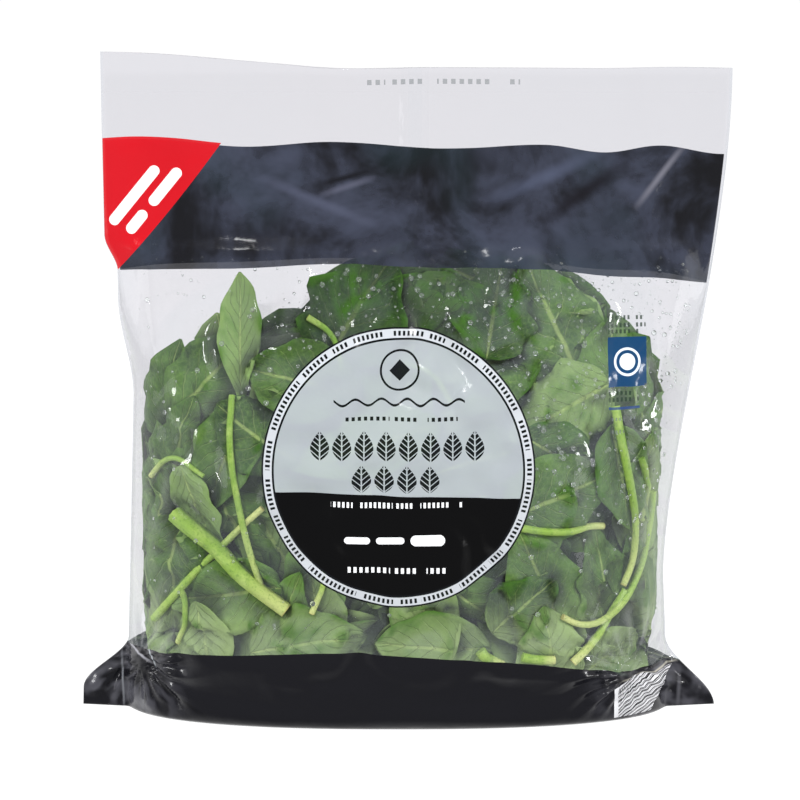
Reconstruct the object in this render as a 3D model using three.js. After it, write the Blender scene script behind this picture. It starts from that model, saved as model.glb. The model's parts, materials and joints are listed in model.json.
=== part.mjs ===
// A clear film bag of baby spinach that stands on its own flattened bottom.
// Millimetres, +Z up, the printed front faces -Y. The origin is at the middle of the base on the floor.
// The bag is a flat tube of film. Its lower two thirds are filled with leaves and bulge, the top is an
// empty flat header, and the two bottom corners stick out at the sides as small pinched ears.
import * as THREE from "three";

// Driving dimensions: heights
const BAG_HEIGHT = 281; // floor to the middle of the top edge
const CORNER_RISE = 7; // how far the left top corner stands above that
const CORNER_RISE_FROM_X = -20;
const CORNER_RISE_TO_X = -128;
const CORNER_RISE_LOWEST = 196; // the rise fades out downwards to this height
const HEADER_START = 236; // above this the two sheets lie together
const BELLY_TOP = 92; // above this the bag thins out towards the header
const EAR_TOP = 31; // where an ear leaves the side edge

// Depths
const BELLY_HALF_DEPTH = 50;
const BASE_HALF_DEPTH = 46; // where the front sheet turns under
const BASE_ROUND = 7; // radius of that turn
const BELLY_SQUARENESS = 2.5; // 2 is an ellipse seen from above
const SHEETS_HALF = 0.7; // half of the two sheets and the air between them
const BELLY_SPREAD = 2.75; // how far each sheet parts from the other, for each millimetre from the edge
const HEADER_SPREAD = 0.45;
const SPREAD_FADE_FROM = 120; // height up to which the belly's value holds
const EAR_SPREAD = 0.2;
const EAR_HALF_THICKNESS = 4;
const EAR_BLEND = 8; // height over which an ear merges into the side of the bag

// Widths, from the middle of the bag to its side edges
const LEFT_WAIST = 116.5;
const LEFT_WAIST_HEIGHT = 140;
const LEFT_FOOT_FLARE = 5;
const LEFT_SHOULDER_FLARE = 6; // between LEFT_WAIST_HEIGHT and LEFT_SHOULDER
const LEFT_SHOULDER = 182;
const LEFT_STEP = 5.5; // the edge steps out again where the header starts to lie flat
const LEFT_STEP_FROM = 194;
const LEFT_STEP_TO = 209;
const RIGHT_WAIST = 115.5;
const RIGHT_WAIST_HEIGHT = 60;
const RIGHT_FOOT_FLARE = 3;
const RIGHT_HEADER_FLARE = 26; // the right edge leans out all the way to the top
const RIGHT_FLARE_POWER = 1.6;
const LEFT_EAR_REACH = 19.5;
const LEFT_EAR_TIP = 8; // height of the tip
const RIGHT_EAR_REACH = 20.5;
const RIGHT_EAR_TIP = 0;

// The header's soft folds
const WAVE_DEPTH = 3.6;
const WAVE_LENGTH = 92;
const WAVE_FROM = 170; // height where they fade in
const WAVE_FULL = 246;
const WAVE_START_X = 4;
const RIPPLE_SHARE = 0.45; // a second, shorter wave that leans, as a share of the first
const RIPPLE_RATE = 1.7;
const RIPPLE_LEAN = 40;

// The leaves that press on the film
const LEAF_LENGTH = 52;
const LEAF_WIDTH = 33;
const LEAST_LEAF = 0.75; // smallest leaf, as a share of these two
const SIZE_RANGE = 0.5; // the largest is this much more
const BROAD_END = 0.5; // 0 is an oval leaf, more makes one end broader
const LEAF_RISE = 2.4; // how far a leaf stands out under the film
const MIDRIB_SHARE = 0.35; // depth of the groove along a leaf, as a share of that
const MIDRIB_WIDTH = 2.3;
const CROWN_DROP = 0.45; // how much lower a leaf's edge is than its middle, as a share of the rise
const LOWEST_LAYER = 0.35; // rise of the undermost leaf, as a share of the topmost
const LEAVES_PER_SIDE = 74;
const PILE_TOP = 193;
const PILE_BOTTOM = 34;
const PILE_HALF_WIDTH = 104;
const SHOULDER = 62; // height over which the pile narrows to a dome
const RELIEF_SIDE_FADE = [3, 16]; // distances from the side edge
const RELIEF_FLOOR_FADE = [14, 38]; // heights
const RELIEF_TOP_FADE = [PILE_TOP - 6, PILE_TOP + 10];
const FRONT_SEED = 11;
const BACK_SEED = 29;

// Pleats that fan out from each ear over the foot of the bag
const PLEAT_DEPTH = 1.5;
const PLEAT_COUNT = 7; // waves in half a turn
const PLEAT_REACH = 30;
const PLEAT_SIDE_FADE = [1, 9]; // distances from the side of the filled bag
const PLEAT_FLOOR_FADE = [2, 12]; // heights

// Mesh density
const COLUMNS = 44;
const ROW_STEPS = [
  { to: BASE_ROUND, rows: 3 },
  { to: EAR_TOP + 5, rows: 7 },
  { to: PILE_TOP + 9, rows: 29 },
  { to: BAG_HEIGHT, rows: 9 },
];
const EDGE_CROWDING = 0.45; // how much closer the columns lie at the side edges

const LEAST = 0.01; // a length that keeps the formulas away from zero

const clamp01 = (t) => Math.min(1, Math.max(0, t));

// Goes smoothly from 0 at `from` to 1 at `to`.
function ease(value, from, to) {
  const t = clamp01((value - from) / (to - from));
  return t * t * (3 - 2 * t);
}

// The smaller of two lengths, with a rounded turn from one to the other.
const softMin = (a, b) => (a * b) / Math.cbrt(a ** 3 + b ** 3);

// A small seeded generator, so that the leaves fall the same way each time.
function makeRandom(seed) {
  let state = seed;
  return () => {
    state = (state * 1664525 + 1013904223) % 4294967296;
    return state / 4294967296;
  };
}

// The filled tube seen from the front, without the ears: x of its left and its right side.
function leftBody(z) {
  const below = Math.max(0, LEFT_WAIST_HEIGHT - z) / LEFT_WAIST_HEIGHT;
  const shoulder = LEFT_SHOULDER_FLARE * ease(z, LEFT_WAIST_HEIGHT, LEFT_SHOULDER);
  const step = LEFT_STEP * ease(z, LEFT_STEP_FROM, LEFT_STEP_TO);
  return -(LEFT_WAIST + LEFT_FOOT_FLARE * below + shoulder + step);
}

function rightBody(z) {
  const up = clamp01((z - RIGHT_WAIST_HEIGHT) / (BAG_HEIGHT - RIGHT_WAIST_HEIGHT));
  const below = Math.max(0, RIGHT_WAIST_HEIGHT - z) / RIGHT_WAIST_HEIGHT;
  const flare = RIGHT_HEADER_FLARE * Math.sin((Math.PI / 2) * up) ** RIGHT_FLARE_POWER;
  return RIGHT_WAIST + flare + RIGHT_FOOT_FLARE * below;
}

// The side edges with their ears.
const leftSide = (z) => leftBody(z) - LEFT_EAR_REACH * ease(z, EAR_TOP, LEFT_EAR_TIP);
const rightSide = (z) => rightBody(z) + RIGHT_EAR_REACH * ease(z, EAR_TOP, RIGHT_EAR_TIP);

// Half of the bag's depth on its middle line.
function halfDepth(z) {
  const thinning = 1 - ease(z, BELLY_TOP, HEADER_START);
  const below = Math.max(0, BELLY_TOP - z) / BELLY_TOP;
  return BELLY_HALF_DEPTH * thinning - (BELLY_HALF_DEPTH - BASE_HALF_DEPTH) * below ** 2;
}

// How far the foot is drawn in where it turns under to the floor.
function footBend(z) {
  const drop = 1 - clamp01(z / BASE_ROUND);
  return BASE_ROUND * (1 - Math.sqrt(1 - drop ** 2));
}

// How steeply the two sheets part at the side edge: bluntly at the belly, hardly in the header.
function sideSpread(z) {
  const up = ease(z, SPREAD_FADE_FROM, HEADER_START);
  return BELLY_SPREAD + (HEADER_SPREAD - BELLY_SPREAD) * up;
}

// Half of the distance between the two sheets, at x between the sides.
function halfGap(x, z) {
  const left = leftBody(z);
  const right = rightBody(z);
  const across = Math.min(0.999, Math.abs((2 * x - left - right) / (right - left)));
  const bulge = Math.max(LEAST, halfDepth(z)) * Math.sqrt(1 - across ** BELLY_SQUARENESS);
  const fromBody = Math.max(LEAST, Math.min(x - left, right - x));
  const filled = softMin(bulge, fromBody * sideSpread(z));
  const fromEdge = Math.max(LEAST, Math.min(x - leftSide(z), rightSide(z) - x));
  const earShare = ease(z, EAR_TOP + EAR_BLEND, EAR_TOP - EAR_BLEND);
  const ear = Math.min(EAR_SPREAD * fromEdge, EAR_HALF_THICKNESS) * earShare;
  const joined = Math.cbrt(filled ** 3 + ear ** 3);
  return SHEETS_HALF + joined * (1 - footBend(z) / (BASE_HALF_DEPTH + footBend(z)));
}

// The header's soft folds, which both sheets follow together.
function headerWave(x, z) {
  const turn = (2 * Math.PI) / WAVE_LENGTH;
  const ripple = RIPPLE_SHARE * Math.sin(RIPPLE_RATE * turn * x + z / RIPPLE_LEAN);
  return WAVE_DEPTH * ease(z, WAVE_FROM, WAVE_FULL) * (Math.sin(turn * (x - WAVE_START_X)) + ripple);
}

function earPleats(x, z) {
  const side = x < 0 ? leftBody(EAR_TOP) : rightBody(EAR_TOP);
  const fromSide = Math.abs(x - side);
  const angle = Math.atan2(z - EAR_TOP, fromSide);
  const nearness = Math.exp(-((Math.hypot(fromSide, z - EAR_TOP) / PLEAT_REACH) ** 2));
  const share = nearness * ease(fromSide, ...PLEAT_SIDE_FADE) * ease(z, ...PLEAT_FLOOR_FADE);
  return PLEAT_DEPTH * share * Math.sin(2 * PLEAT_COUNT * angle);
}

// Leaves of one side: later ones lie over earlier ones.
function scatterLeaves(seed) {
  const random = makeRandom(seed);
  const leaves = [];
  while (leaves.length < LEAVES_PER_SIDE) {
    const z = PILE_BOTTOM + random() * (PILE_TOP - PILE_BOTTOM);
    const dome = Math.sqrt(1 - (1 - clamp01((PILE_TOP - z) / SHOULDER)) ** 2);
    const x = (2 * random() - 1) * PILE_HALF_WIDTH * dome;
    const size = LEAST_LEAF + SIZE_RANGE * random();
    leaves.push({ x, z, size, angle: random() * 2 * Math.PI });
  }
  return leaves;
}

// The rise of the topmost leaf at a point: a crowned blade with a groove along its midrib.
function leafRelief(leaves, x, z) {
  for (let i = leaves.length - 1; i >= 0; i -= 1) {
    const leaf = leaves[i];
    const dx = x - leaf.x;
    const dz = z - leaf.z;
    const along = (dx * Math.cos(leaf.angle) + dz * Math.sin(leaf.angle)) / (leaf.size * LEAF_LENGTH);
    const across = (dz * Math.cos(leaf.angle) - dx * Math.sin(leaf.angle)) / leaf.size;
    if (Math.abs(along) >= 0.5) continue;
    const oval = 0.5 * LEAF_WIDTH * Math.sqrt(1 - (2 * along) ** 2);
    const halfWidth = oval * (1 - BROAD_END * along);
    const out = Math.abs(across) / Math.max(LEAST, halfWidth);
    if (out >= 1) continue;
    const midrib = MIDRIB_SHARE * Math.exp(-((across / MIDRIB_WIDTH) ** 2));
    const layer = LOWEST_LAYER + ((1 - LOWEST_LAYER) * i) / leaves.length;
    return LEAF_RISE * layer * (1 - CROWN_DROP * out * out - midrib);
  }
  return 0;
}

// Relief fades out in the header, at the floor and at the side edges.
function reliefShare(x, z) {
  const sides = ease(Math.min(x - leftBody(z), rightBody(z) - x), ...RELIEF_SIDE_FADE);
  return sides * ease(z, ...RELIEF_FLOOR_FADE) * (1 - ease(z, ...RELIEF_TOP_FADE));
}

// The top edge isn't level: its left corner stands up.
function lift(x, z) {
  const outwards = ease(x, CORNER_RISE_FROM_X, CORNER_RISE_TO_X);
  return CORNER_RISE * outwards * ease(z, CORNER_RISE_LOWEST, BAG_HEIGHT);
}

function rowHeights() {
  const heights = [0];
  let from = 0;
  for (const { to, rows } of ROW_STEPS) {
    for (let i = 1; i <= rows; i += 1) heights.push(from + ((to - from) * i) / rows);
    from = to;
  }
  return heights;
}

// Place of a column between the left side, -1, and the right side, 1.
function columnShare(i) {
  const even = (2 * i) / COLUMNS - 1;
  return (1 - EDGE_CROWDING) * even + EDGE_CROWDING * Math.sin((Math.PI / 2) * even);
}

// One ring of points round the bag: the front from left to right, then the back from right to left.
function ring(z, frontLeaves, backLeaves) {
  const left = leftSide(z);
  const right = rightSide(z);
  const points = [];
  for (const front of [true, false]) {
    for (let i = 0; i <= COLUMNS; i += 1) {
      const share = columnShare(front ? i : COLUMNS - i);
      const x = (left + right) / 2 + (share * (right - left)) / 2;
      const leaves = front ? frontLeaves : backLeaves;
      const relief = leafRelief(leaves, x, z) * reliefShare(x, z) + earPleats(x, z);
      const y = headerWave(x, z) + (front ? -1 : 1) * (halfGap(x, z) + relief);
      points.push(x, y, z + lift(x, z));
    }
  }
  return points;
}

function bagGeometry() {
  const heights = rowHeights();
  const frontLeaves = scatterLeaves(FRONT_SEED);
  const backLeaves = scatterLeaves(BACK_SEED);
  const positions = heights.flatMap((z) => ring(z, frontLeaves, backLeaves));
  const around = 2 * (COLUMNS + 1);
  const index = [];
  const quad = (a, b, c, d) => index.push(a, b, c, a, c, d);
  for (let row = 0; row + 1 < heights.length; row += 1) {
    const low = row * around;
    const high = low + around;
    for (let i = 0; i < around; i += 1) {
      const next = (i + 1) % around;
      quad(low + i, low + next, high + next, high + i);
    }
  }
  // The base and the top edge: each front point is joined to the back point behind it.
  const top = (heights.length - 1) * around;
  for (let i = 0; i < COLUMNS; i += 1) {
    const behind = around - 1 - i;
    quad(i, behind, behind - 1, i + 1);
    quad(top + i, top + i + 1, top + behind - 1, top + behind);
  }
  const geometry = new THREE.BufferGeometry();
  geometry.setAttribute("position", new THREE.Float32BufferAttribute(positions, 3));
  geometry.setIndex(index);
  geometry.computeVertexNormals();
  return geometry;
}

const film = new THREE.MeshStandardMaterial({ color: 0x7e9a6a, roughness: 0.25, metalness: 0 });

const bag = new THREE.Mesh(bagGeometry(), film);
bag.name = "spinach_bag";

const part = new THREE.Group();
part.add(bag);

export default part;
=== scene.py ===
# %% [markdown]
# # A clear bag of baby spinach
# The bag is a tube of thin clear film. Leaves fill its lower two thirds, the top is an empty flat
# header, and two printed bands, a round label and a coloured corner lie on the film.
# We start from the measured solid. It tells us where the bag is, and our film takes its place.

# %% Load the measured frame
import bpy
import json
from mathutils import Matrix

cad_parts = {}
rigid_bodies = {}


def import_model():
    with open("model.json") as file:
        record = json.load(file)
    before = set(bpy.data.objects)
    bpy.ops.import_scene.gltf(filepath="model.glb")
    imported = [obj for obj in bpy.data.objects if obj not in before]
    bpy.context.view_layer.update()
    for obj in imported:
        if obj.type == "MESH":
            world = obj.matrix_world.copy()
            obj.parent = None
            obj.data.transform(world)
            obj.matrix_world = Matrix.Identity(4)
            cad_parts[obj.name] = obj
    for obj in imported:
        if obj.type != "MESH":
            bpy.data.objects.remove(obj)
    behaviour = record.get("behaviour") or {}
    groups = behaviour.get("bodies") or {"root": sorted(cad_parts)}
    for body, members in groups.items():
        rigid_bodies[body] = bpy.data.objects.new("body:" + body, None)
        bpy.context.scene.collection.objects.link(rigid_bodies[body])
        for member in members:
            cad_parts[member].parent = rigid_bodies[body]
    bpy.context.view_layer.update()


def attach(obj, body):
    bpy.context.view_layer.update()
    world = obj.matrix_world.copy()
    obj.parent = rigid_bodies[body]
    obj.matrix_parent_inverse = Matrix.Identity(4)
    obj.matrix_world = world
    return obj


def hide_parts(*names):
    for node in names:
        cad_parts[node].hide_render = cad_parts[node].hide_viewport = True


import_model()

import json
import math

import bpy
import numpy as np
from mathutils import Vector

MM = 0.001

# %% [markdown]
# ## The bag's form
# Film can't stretch, so a filled bag has few free shapes: seen from the front it has a left and a
# right side edge, and between them two sheets that stand some distance apart. We describe just that
# with a few smooth functions of height, using the same sizes as the solid. A sculpted mesh would do as
# well, but a formula can be asked again later: the leaves need to know where the film is.

# %% Sizes of the bag
BAG_HEIGHT = 281 * MM
CORNER_RISE = 7 * MM  # the left top corner stands higher
CORNER_RISE_X = (-20 * MM, -128 * MM)
CORNER_RISE_LOWEST = 196 * MM
HEADER_START = 236 * MM  # above this the two sheets lie together
BELLY_TOP = 92 * MM
EAR_TOP = 31 * MM  # the two bottom corners stick out below this

BELLY_HALF_DEPTH = 50 * MM
BASE_HALF_DEPTH = 46 * MM
BASE_ROUND = 7 * MM
BELLY_SQUARENESS = 2.5
SHEETS_HALF = 0.7 * MM
BELLY_SPREAD = 2.75  # how fast the sheets part, going in from the side edge
HEADER_SPREAD = 0.45
SPREAD_FADE_FROM = 120 * MM
EAR_SPREAD = 0.2
EAR_HALF_THICKNESS = 4 * MM
EAR_BLEND = 8 * MM

LEFT_WAIST, LEFT_WAIST_HEIGHT = 116.5 * MM, 140 * MM
LEFT_FOOT_FLARE = 5 * MM
LEFT_SHOULDER_FLARE, LEFT_SHOULDER = 6 * MM, 182 * MM
LEFT_STEP, LEFT_STEP_Z = 5.5 * MM, (194 * MM, 209 * MM)
RIGHT_WAIST, RIGHT_WAIST_HEIGHT = 115.5 * MM, 60 * MM
RIGHT_FOOT_FLARE = 3 * MM
RIGHT_HEADER_FLARE, RIGHT_FLARE_POWER = 26 * MM, 1.6
LEFT_EAR_REACH, LEFT_EAR_TIP = 19.5 * MM, 8 * MM
RIGHT_EAR_REACH, RIGHT_EAR_TIP = 20.5 * MM, 0.0
ALMOST_EDGE = 0.999  # the belly's curve stops at this share of the way to the edge
LEAST = 0.01 * MM  # keeps the formulas away from zero
print("bag, in mm:", round(BAG_HEIGHT / MM), "high,", round(2 * BELLY_HALF_DEPTH / MM), "deep in the belly")


# %% The outline
def ease(value, start, end):
    """0 at start, 1 at end, smooth between."""
    t = np.clip((value - start) / (end - start), 0.0, 1.0)
    return t * t * (3 - 2 * t)


def left_body(z):
    """x of the left side edge, without the corner that sticks out at the bottom."""
    below = np.maximum(0, LEFT_WAIST_HEIGHT - z) / LEFT_WAIST_HEIGHT
    shoulder = LEFT_SHOULDER_FLARE * ease(z, LEFT_WAIST_HEIGHT, LEFT_SHOULDER)
    return -(LEFT_WAIST + LEFT_FOOT_FLARE * below + shoulder + LEFT_STEP * ease(z, *LEFT_STEP_Z))


def right_body(z):
    """The same for the right side edge."""
    up = np.clip((z - RIGHT_WAIST_HEIGHT) / (BAG_HEIGHT - RIGHT_WAIST_HEIGHT), 0, 1)
    below = np.maximum(0, RIGHT_WAIST_HEIGHT - z) / RIGHT_WAIST_HEIGHT
    flare = RIGHT_HEADER_FLARE * np.sin(math.pi / 2 * up) ** RIGHT_FLARE_POWER
    return RIGHT_WAIST + flare + RIGHT_FOOT_FLARE * below


def left_side(z):
    """x of the left side edge, with the corner at the bottom."""
    return left_body(z) - LEFT_EAR_REACH * ease(z, EAR_TOP, LEFT_EAR_TIP)


def right_side(z):
    """The same for the right side edge."""
    return right_body(z) + RIGHT_EAR_REACH * ease(z, EAR_TOP, RIGHT_EAR_TIP)


some_heights = np.array([10, 140, 281]) * MM
some_widths = right_side(some_heights) - left_side(some_heights)
print("widths at 10, 140 and 281 mm, in mm:", np.round(some_widths / MM))


# %% The gap between the sheets
def half_gap(x, z):
    """Half of the distance between the front sheet and the back sheet."""
    left, right = left_body(z), right_body(z)
    across = np.minimum(ALMOST_EDGE, np.abs((2 * x - left - right) / (right - left)))
    below = np.maximum(0, BELLY_TOP - z) / BELLY_TOP
    depth = BELLY_HALF_DEPTH * (1 - ease(z, BELLY_TOP, HEADER_START))
    depth = depth - (BELLY_HALF_DEPTH - BASE_HALF_DEPTH) * below ** 2
    bulge = np.maximum(LEAST, depth) * np.sqrt(1 - across ** BELLY_SQUARENESS)
    from_body = np.maximum(LEAST, np.minimum(x - left, right - x))
    spread = BELLY_SPREAD + (HEADER_SPREAD - BELLY_SPREAD) * ease(z, SPREAD_FADE_FROM, HEADER_START)
    opening = from_body * spread
    filled = bulge * opening / np.cbrt(bulge ** 3 + opening ** 3)
    from_edge = np.maximum(LEAST, np.minimum(x - left_side(z), right_side(z) - x))
    ear = np.minimum(EAR_SPREAD * from_edge, EAR_HALF_THICKNESS)
    ear = ear * (1 - ease(z, EAR_TOP - EAR_BLEND, EAR_TOP + EAR_BLEND))
    drop = 1 - np.clip(z / BASE_ROUND, 0, 1)
    bend = BASE_ROUND * (1 - np.sqrt(1 - drop ** 2))
    return SHEETS_HALF + np.cbrt(filled ** 3 + ear ** 3) * (1 - bend / (BASE_HALF_DEPTH + bend))


print("belly depth, in mm:", round(2 * float(half_gap(0.0, BELLY_TOP)) / MM, 1))

# %% The header's waves and its raised corner
WAVE_DEPTH, WAVE_LENGTH, WAVE_Z, WAVE_START_X = 3.6 * MM, 92 * MM, (170 * MM, 246 * MM), 4 * MM
RIPPLE_SHARE, RIPPLE_RATE, RIPPLE_LEAN = 0.45, 1.7, 40 * MM


def header_wave(x, z):
    """The header's soft waves, which both sheets follow."""
    turn = math.tau / WAVE_LENGTH
    ripple = RIPPLE_SHARE * np.sin(RIPPLE_RATE * turn * x + z / RIPPLE_LEAN)
    return WAVE_DEPTH * ease(z, *WAVE_Z) * (np.sin(turn * (x - WAVE_START_X)) + ripple)


def lift(x, z):
    """How much higher the top stands towards the left corner."""
    return CORNER_RISE * ease(x, *CORNER_RISE_X) * ease(z, CORNER_RISE_LOWEST, BAG_HEIGHT)


some_waves = header_wave(np.linspace(-120, 120, 25) * MM, BAG_HEIGHT)
print("waves of the top edge, in mm:", round(some_waves.min() / MM, 1), "to", round(some_waves.max() / MM, 1))

# %% [markdown]
# ## The pile, unrolled
# Leaves in a full bag lie along the film, layer on layer, like wet paper on a bottle. So we unroll the
# bag: one coordinate runs round it, one runs up, and a height says how far a leaf stands in or out.
# Leaves can then be laid on a flat map, and the map is rolled up again at the end. A physics
# simulation of hundreds of leaves would give as good a pile, but in hours.

# %% Roll-up of the map: rows of height, steps round the bag
PILE_FLOOR, PILE_CEILING = 3 * MM, 212 * MM
PILE_ROWS, PILE_STEPS = 210, 576
PILE_LEFT, PILE_RIGHT = -113.5 * MM, 113 * MM  # beside the leaves a strip of film stays clear
PILE_MARGIN = 0.9 * MM  # the pile's mean surface lies this far behind the film
PILE_LEAST_HALF = 0.3 * MM
CORNER_ROUNDING = 5  # steps over which the sharp side edges are rounded
OUTLINE_POINTS = 401  # across one sheet; an odd number, so that one lies in the middle
BELLY_ROW = 90

pile_z = np.linspace(PILE_FLOOR, PILE_CEILING, PILE_ROWS)


def even_steps(points, count, closed=True):
    """Resample a closed or open line to equal steps, and return it with its length."""
    if closed:
        points = np.vstack([points, points[:1]])
    length = np.concatenate([[0], np.cumsum(np.linalg.norm(np.diff(points, axis=0), axis=1))])
    at = np.linspace(0, length[-1], count, endpoint=not closed)
    return np.stack([np.interp(at, length, points[:, k]) for k in range(2)], axis=1), length[-1]


def circular_blur(values, sigma):
    """Blur along the first axis, which closes on itself."""
    steps = np.fft.fftfreq(len(values))
    kernel = np.exp(-2 * (math.pi * sigma * steps) ** 2)
    shape = (-1,) + (1,) * (values.ndim - 1)
    return np.real(np.fft.ifft(np.fft.fft(values, axis=0) * kernel.reshape(shape), axis=0))


def pile_outline(z):
    """The pile's cross-section at a height, from the front's middle round by the right side."""
    left, right = max(PILE_LEFT, float(left_body(z))), min(PILE_RIGHT, float(right_body(z)))
    share = np.sin(np.linspace(-math.pi / 2, math.pi / 2, OUTLINE_POINTS))
    x = (left + right) / 2 + (right - left) / 2 * share
    y = np.maximum(half_gap(x, z) - PILE_MARGIN, PILE_LEAST_HALF)
    front, back = np.stack([x, -y], axis=1), np.stack([x, y], axis=1)[::-1]
    middle = OUTLINE_POINTS // 2
    outline, _ = even_steps(np.vstack([front[middle:], back, front[:middle]]), PILE_STEPS)
    return even_steps(circular_blur(outline, CORNER_ROUNDING), PILE_STEPS)


outlines = [pile_outline(z) for z in pile_z]
pile_round = np.array([length for _, length in outlines])
pile_points = np.zeros((PILE_ROWS, PILE_STEPS, 3))
pile_points[:, :, :2] = [outline for outline, _ in outlines]
pile_points[:, :, 2] = pile_z[:, None]
along_round = np.roll(pile_points, -1, axis=1) - np.roll(pile_points, 1, axis=1)
pile_normals = np.cross(along_round, np.gradient(pile_points, axis=0))
pile_normals /= np.linalg.norm(pile_normals, axis=2, keepdims=True)
pile_x, pile_y, pile_height = (pile_points[:, :, k] for k in range(3))
pile_half, pile_front = np.abs(pile_y), pile_y < 0
belly_round = pile_round[BELLY_ROW]
print("pile, once round the belly, in mm:", round(belly_round / MM))


# %% Reading the map at any place
def map_row(z):
    """The map's row at a height, with its fraction."""
    return (z - PILE_FLOOR) / (PILE_CEILING - PILE_FLOOR) * (PILE_ROWS - 1)


def read_map(values, turn, z):
    """Bilinear reading at turn (0 to 1 round the bag) and height z."""
    column = np.mod(turn, 1.0) * PILE_STEPS
    row = np.clip(map_row(z), 0, PILE_ROWS - 1.001)
    c0, r0 = np.floor(column).astype(int), np.floor(row).astype(int)
    fc, fr = column - c0, row - r0
    if values.ndim == 3:
        fc, fr = fc[..., None], fr[..., None]
    c0 = c0 % PILE_STEPS
    c1 = (c0 + 1) % PILE_STEPS
    low = values[r0, c0] * (1 - fc) + values[r0, c1] * fc
    high = values[r0 + 1, c0] * (1 - fc) + values[r0 + 1, c1] * fc
    return low * (1 - fr) + high * fr


def roll_up(turn, z, height):
    """From the map to real space, waves of the header included."""
    points = read_map(pile_points, turn, z) + read_map(pile_normals, turn, z) * height[..., None]
    points[..., 1] += header_wave(points[..., 0], points[..., 2])
    points[..., 2] += lift(points[..., 0], points[..., 2])
    return points


def turn_at(x, z, front=True):
    """The turn at which the pile has this x, on the front or on the back; x may be a row of numbers."""
    row = int(np.clip(round(map_row(z)), 0, PILE_ROWS - 1))
    quarter = PILE_STEPS // 4
    steps = np.arange(-quarter, quarter + 1) + (0 if front else 2 * quarter)
    line = pile_x[row, steps % PILE_STEPS]
    if not front:
        line, steps = line[::-1], steps[::-1]
    return np.interp(x, line, steps) / PILE_STEPS


print("turns at the side edges of the front:", np.round(turn_at([PILE_LEFT, PILE_RIGHT], BELLY_TOP), 3))


# %% [markdown]
# ## Laying the leaves
# A leaf of baby spinach is a rounded spade, 40 to 70 mm long, with a midrib, a wavy rim and two halves
# that fold a little. Each leaf falls on the map at a random place, leans as what lies under it leans,
# and is lifted wherever it would cut into that. Then its own height is written into the map, so that
# the next leaf lies on it. The first leaves lie deep in the bag and the last ones touch the film.

# %% The outline and the waves of one leaf
THICKNESS = 0.45 * MM
LEAF_GAP = 0.75 * MM
LEAST_HALF_WIDTH = 0.5 * MM
GROOVE_WIDTH, GROOVE_DEPTH = 1.3 * MM, 0.8 * MM  # the midrib's groove
FOLD_HEIGHT = 2.2 * MM  # how far a folded-over part stands off the rest of its leaf
rng = np.random.default_rng(7)


def blade_grid(rows, columns):
    """Positions along the blade, 0 to 1, and across it, -1 to 1."""
    along = (1 - np.cos(np.linspace(0, math.pi, rows))) / 2 * 0.6 + np.linspace(0, 1, rows) * 0.4
    return np.meshgrid(along, np.linspace(-1, 1, columns), indexing="ij")


def half_width(along, width, broad):
    """Half of the blade's width: broad below 1 puts the widest place nearer to the stalk."""
    rounded = np.sin(math.pi * np.clip(along, 0, 1) ** broad) ** 0.72
    return np.maximum(width / 2 * rounded, LEAST_HALF_WIDTH)


def random_leaf(length, width):
    """The facts of one leaf: its size and how it bends, folds and ruffles."""
    return dict(
        length=length, width=width, broad=rng.uniform(0.62, 0.95), bow=rng.uniform(-0.2, 0.2),
        fold=rng.uniform(-0.2, 0.42), curl=rng.uniform(-0.4, 0.3), twist=rng.uniform(-0.25, 0.25),
        ruffle=rng.uniform(0.7, 3.2) * MM, waves=rng.uniform(1.4, 3.6), phase=rng.uniform(0, 6.28),
        pucker=rng.uniform(0.3, 1.1) * MM, ragged=rng.uniform(0.02, 0.09),
        tone=rng.uniform(0, 1), under=float(rng.random() < 0.35),
        folded=rng.random() < 0.34, fold_way=rng.choice([1, -1]) * rng.uniform(0.9, 2.1),
        fold_at=rng.uniform(0.1, 0.3),
    )


def leaf_shape(leaf, u, v):
    """Place and height of each point of a leaf, and 1 where a part is folded over."""
    ragged = np.sin(9.1 * math.tau * u / 3 + leaf["phase"] + v) + np.sin(22 * u + 2 * leaf["phase"] - 2 * v)
    across = v * half_width(u, leaf["width"], leaf["broad"]) * (1 + leaf["ragged"] * ragged)
    along = (u - 0.5) * leaf["length"]
    fold = np.abs(across) * leaf["fold"]
    curl = leaf["curl"] * leaf["length"] * (u - 0.5) ** 2
    twist = leaf["twist"] * across * (u - 0.3)
    waves = np.sin(math.tau * leaf["waves"] * u + leaf["phase"] + 1.9 * np.sign(v))
    ruffles = leaf["ruffle"] * np.abs(v) ** 2.2 * waves
    veins = np.cos(math.tau * (6.5 * u - 1.9 * np.abs(v)) + leaf["phase"])
    puckers = leaf["pucker"] * veins * (1 - v ** 2) * np.sin(math.pi * u)
    groove = np.exp(-(across / GROOVE_WIDTH) ** 2) * (1 - 0.75 * u) * GROOVE_DEPTH
    height = fold - curl + twist + ruffles + puckers + np.where(leaf["under"] > 0.5, groove, -groove)
    across = across + leaf["bow"] * leaf["length"] * (u - 0.5) ** 2
    turned = np.zeros_like(u)
    if leaf["folded"]:
        way = (math.cos(leaf["fold_way"]), math.sin(leaf["fold_way"]))
        reach = leaf["fold_at"] * (abs(way[0]) * leaf["length"] + abs(way[1]) * leaf["width"])
        over = np.maximum(0, along * way[0] + across * way[1] - reach)
        along, across = along - 2 * over * way[0], across - 2 * over * way[1]
        height = height + FOLD_HEIGHT * (1 - np.exp(-over / FOLD_HEIGHT))
        turned = ease(over, 0, FOLD_HEIGHT)
    return along, across, height, turned


some_halves = half_width(np.linspace(0, 1, 6), 30 * MM, 0.8)
print("half widths along a blade 30 mm wide, in mm:", np.round(some_halves / MM, 1))

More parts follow.
